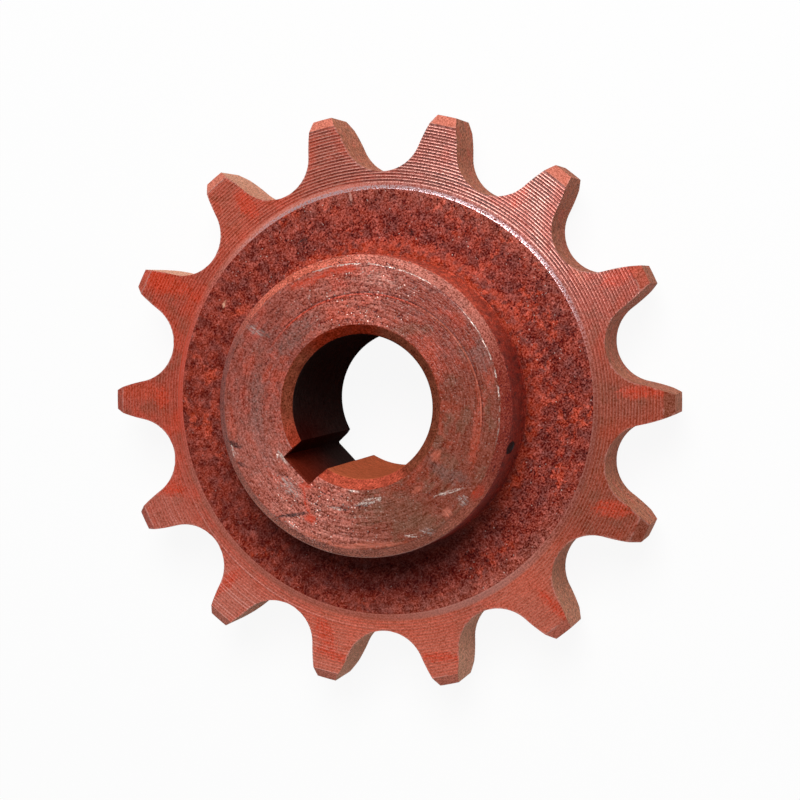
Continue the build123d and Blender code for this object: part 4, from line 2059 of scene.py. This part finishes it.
@dataclass(frozen=True)
class Lamp:
    """A soft square lamp that shines on the middle of the sprocket. Angles are in degrees.

    Its level is how brightly it alone lights a white face that it shines straight on.
    """

    name: str
    azimuth: float
    elevation: float
    distance: float
    size: float
    level: float

    def add(self, aim: Vector) -> None:
        """Adds the lamp to the scene.

        Args:
            aim: what it shines on.
        """
        light = bpy.data.lights.new(self.name, "AREA")
        light.shape = "SQUARE"
        light.size = self.size
        light.energy = self.level * (math.pi * self.distance) ** 2
        thing = bpy.data.objects.new(self.name, light)
        turn, lift = math.radians(self.azimuth), math.radians(self.elevation)
        toward = Vector((math.cos(turn) * math.cos(lift), math.sin(turn) * math.cos(lift), math.sin(lift)))
        thing.location = aim + toward * self.distance
        thing.rotation_euler = toward.to_track_quat("Z", "Y").to_euler()
        bpy.context.scene.collection.objects.link(thing)


@dataclass
class Studio:
    """A pale floor, soft lamps and a camera that looks down on the sprocket's nose."""

    camera_azimuth: float = 147.680
    camera_elevation: float = 74.433
    camera_roll: float = -101.715
    camera_distance: float = 431.19 * MM
    aim_right: float = 3.605 * MM
    aim_up: float = 0.525 * MM
    lens: float = 90.531
    sensor_width: float = 36.0
    floor_size: float = 3.0
    floor_tone: float = 0.86
    floor_glow: float = 0.92
    fill: float = 0.17
    backdrop_height: float = 0.15
    backdrop_fade: float = 0.1
    lamps: tuple[Lamp, ...] = (Lamp("key", 211.4, 60.0, 0.8, 0.40, 0.98),)

    def add_camera(self, aim: Vector) -> None:
        """Makes the scene's camera.

        Args:
            aim: the middle of the toothed rim's front face, which the camera is set up on.
        """
        turn = (
            Matrix.Rotation(math.radians(self.camera_azimuth + 90), 4, "Z")
            @ Matrix.Rotation(math.radians(90 - self.camera_elevation), 4, "X")
            @ Matrix.Rotation(math.radians(self.camera_roll), 4, "Z")
        )
        offset = turn @ Vector((self.aim_right, self.aim_up, self.camera_distance))
        camera = bpy.data.objects.new("camera", bpy.data.cameras.new("camera"))
        camera.data.lens = self.lens
        camera.data.sensor_width = self.sensor_width
        camera.matrix_world = Matrix.Translation(aim + offset) @ turn
        bpy.context.scene.collection.objects.link(camera)
        bpy.context.scene.camera = camera

    def sees_backdrop(self, sheet: Sheet) -> Socket:
        """A mask of the rays that show the pale backdrop: the camera's, and those in gloss and glass."""
        rays = sheet.add("ShaderNodeLightPath")
        gloss = sheet.most(rays.outputs["Is Glossy Ray"], rays.outputs["Is Transmission Ray"])
        return sheet.most(rays.outputs["Is Camera Ray"], gloss)

    def add_world(self) -> None:
        """Makes the soft light all round, with a white backdrop that gloss sees near the horizon only."""
        world = bpy.data.worlds.new("studio")
        bpy.context.scene.world = world
        world.use_nodes = True
        world.node_tree.nodes.clear()
        sheet = Sheet(world.node_tree)
        rays = sheet.add("ShaderNodeLightPath")
        coordinates = sheet.add("ShaderNodeTexCoord")
        _, _, height = sheet.split(coordinates.outputs["Generated"])
        low = sheet.rise(height, self.backdrop_height + self.backdrop_fade, self.backdrop_height)
        seen = sheet.most(rays.outputs["Is Camera Ray"], sheet.product(self.sees_backdrop(sheet), low))
        fill = sheet.add("ShaderNodeBackground")
        fill.inputs["Color"].default_value = (1, 1, 1, 1)
        fill.inputs["Strength"].default_value = self.fill
        white = sheet.add("ShaderNodeBackground")
        white.inputs["Color"].default_value = (1, 1, 1, 1)
        both = sheet.add("ShaderNodeMixShader")
        out = sheet.add("ShaderNodeOutputWorld")
        sheet.put(both.inputs[0], seen)
        sheet.put(both.inputs[1], fill.outputs[0])
        sheet.put(both.inputs[2], white.outputs[0])
        sheet.put(out.inputs[0], both.outputs[0])

    def add_floor(self) -> None:
        """Adds the pale floor that the sprocket lies on, which keeps a faint shadow."""
        bpy.ops.object.select_all(action="DESELECT")
        bpy.ops.mesh.primitive_plane_add(size=self.floor_size, location=(0, 0, 0))
        floor = bpy.context.object
        floor.name = "floor"
        material = bpy.data.materials.new("floor")
        material.use_nodes = True
        sheet = Sheet(material.node_tree)
        shader = material.node_tree.nodes["Principled BSDF"]
        shader.inputs["Base Color"].default_value = (*[self.floor_tone] * 3, 1)
        shader.inputs["Roughness"].default_value = 1.0
        shader.inputs["Specular IOR Level"].default_value = 0.0
        glow = sheet.add("ShaderNodeEmission")
        both = sheet.add("ShaderNodeMixShader")
        sheet.put(both.inputs[0], sheet.product(self.sees_backdrop(sheet), self.floor_glow))
        sheet.put(both.inputs[1], shader.outputs[0])
        sheet.put(both.inputs[2], glow.outputs[0])
        sheet.put(material.node_tree.nodes["Material Output"].inputs[0], both.outputs[0])
        floor.data.materials.append(material)

    def build(self, aim: Vector) -> None:
        """Makes the camera, the lamps, the world and the floor.

        Args:
            aim: the middle of the toothed rim's front face.
        """
        self.add_camera(aim)
        for lamp in self.lamps:
            lamp.add(aim)
        self.add_world()
        self.add_floor()


def main() -> None:
    """Builds the sprocket and its studio."""
    logging.basicConfig(level=logging.INFO, format="%(name)s: %(message)s")
    bpy.context.scene.view_settings.view_transform = "Standard"
    sprocket = Sprocket()
    piece = sprocket.build()
    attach(piece, "root")
    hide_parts(NODE)
    Studio().build(Vector((0, 0, sprocket.blank.rim_front)))


if __name__ == "__main__":
    main()
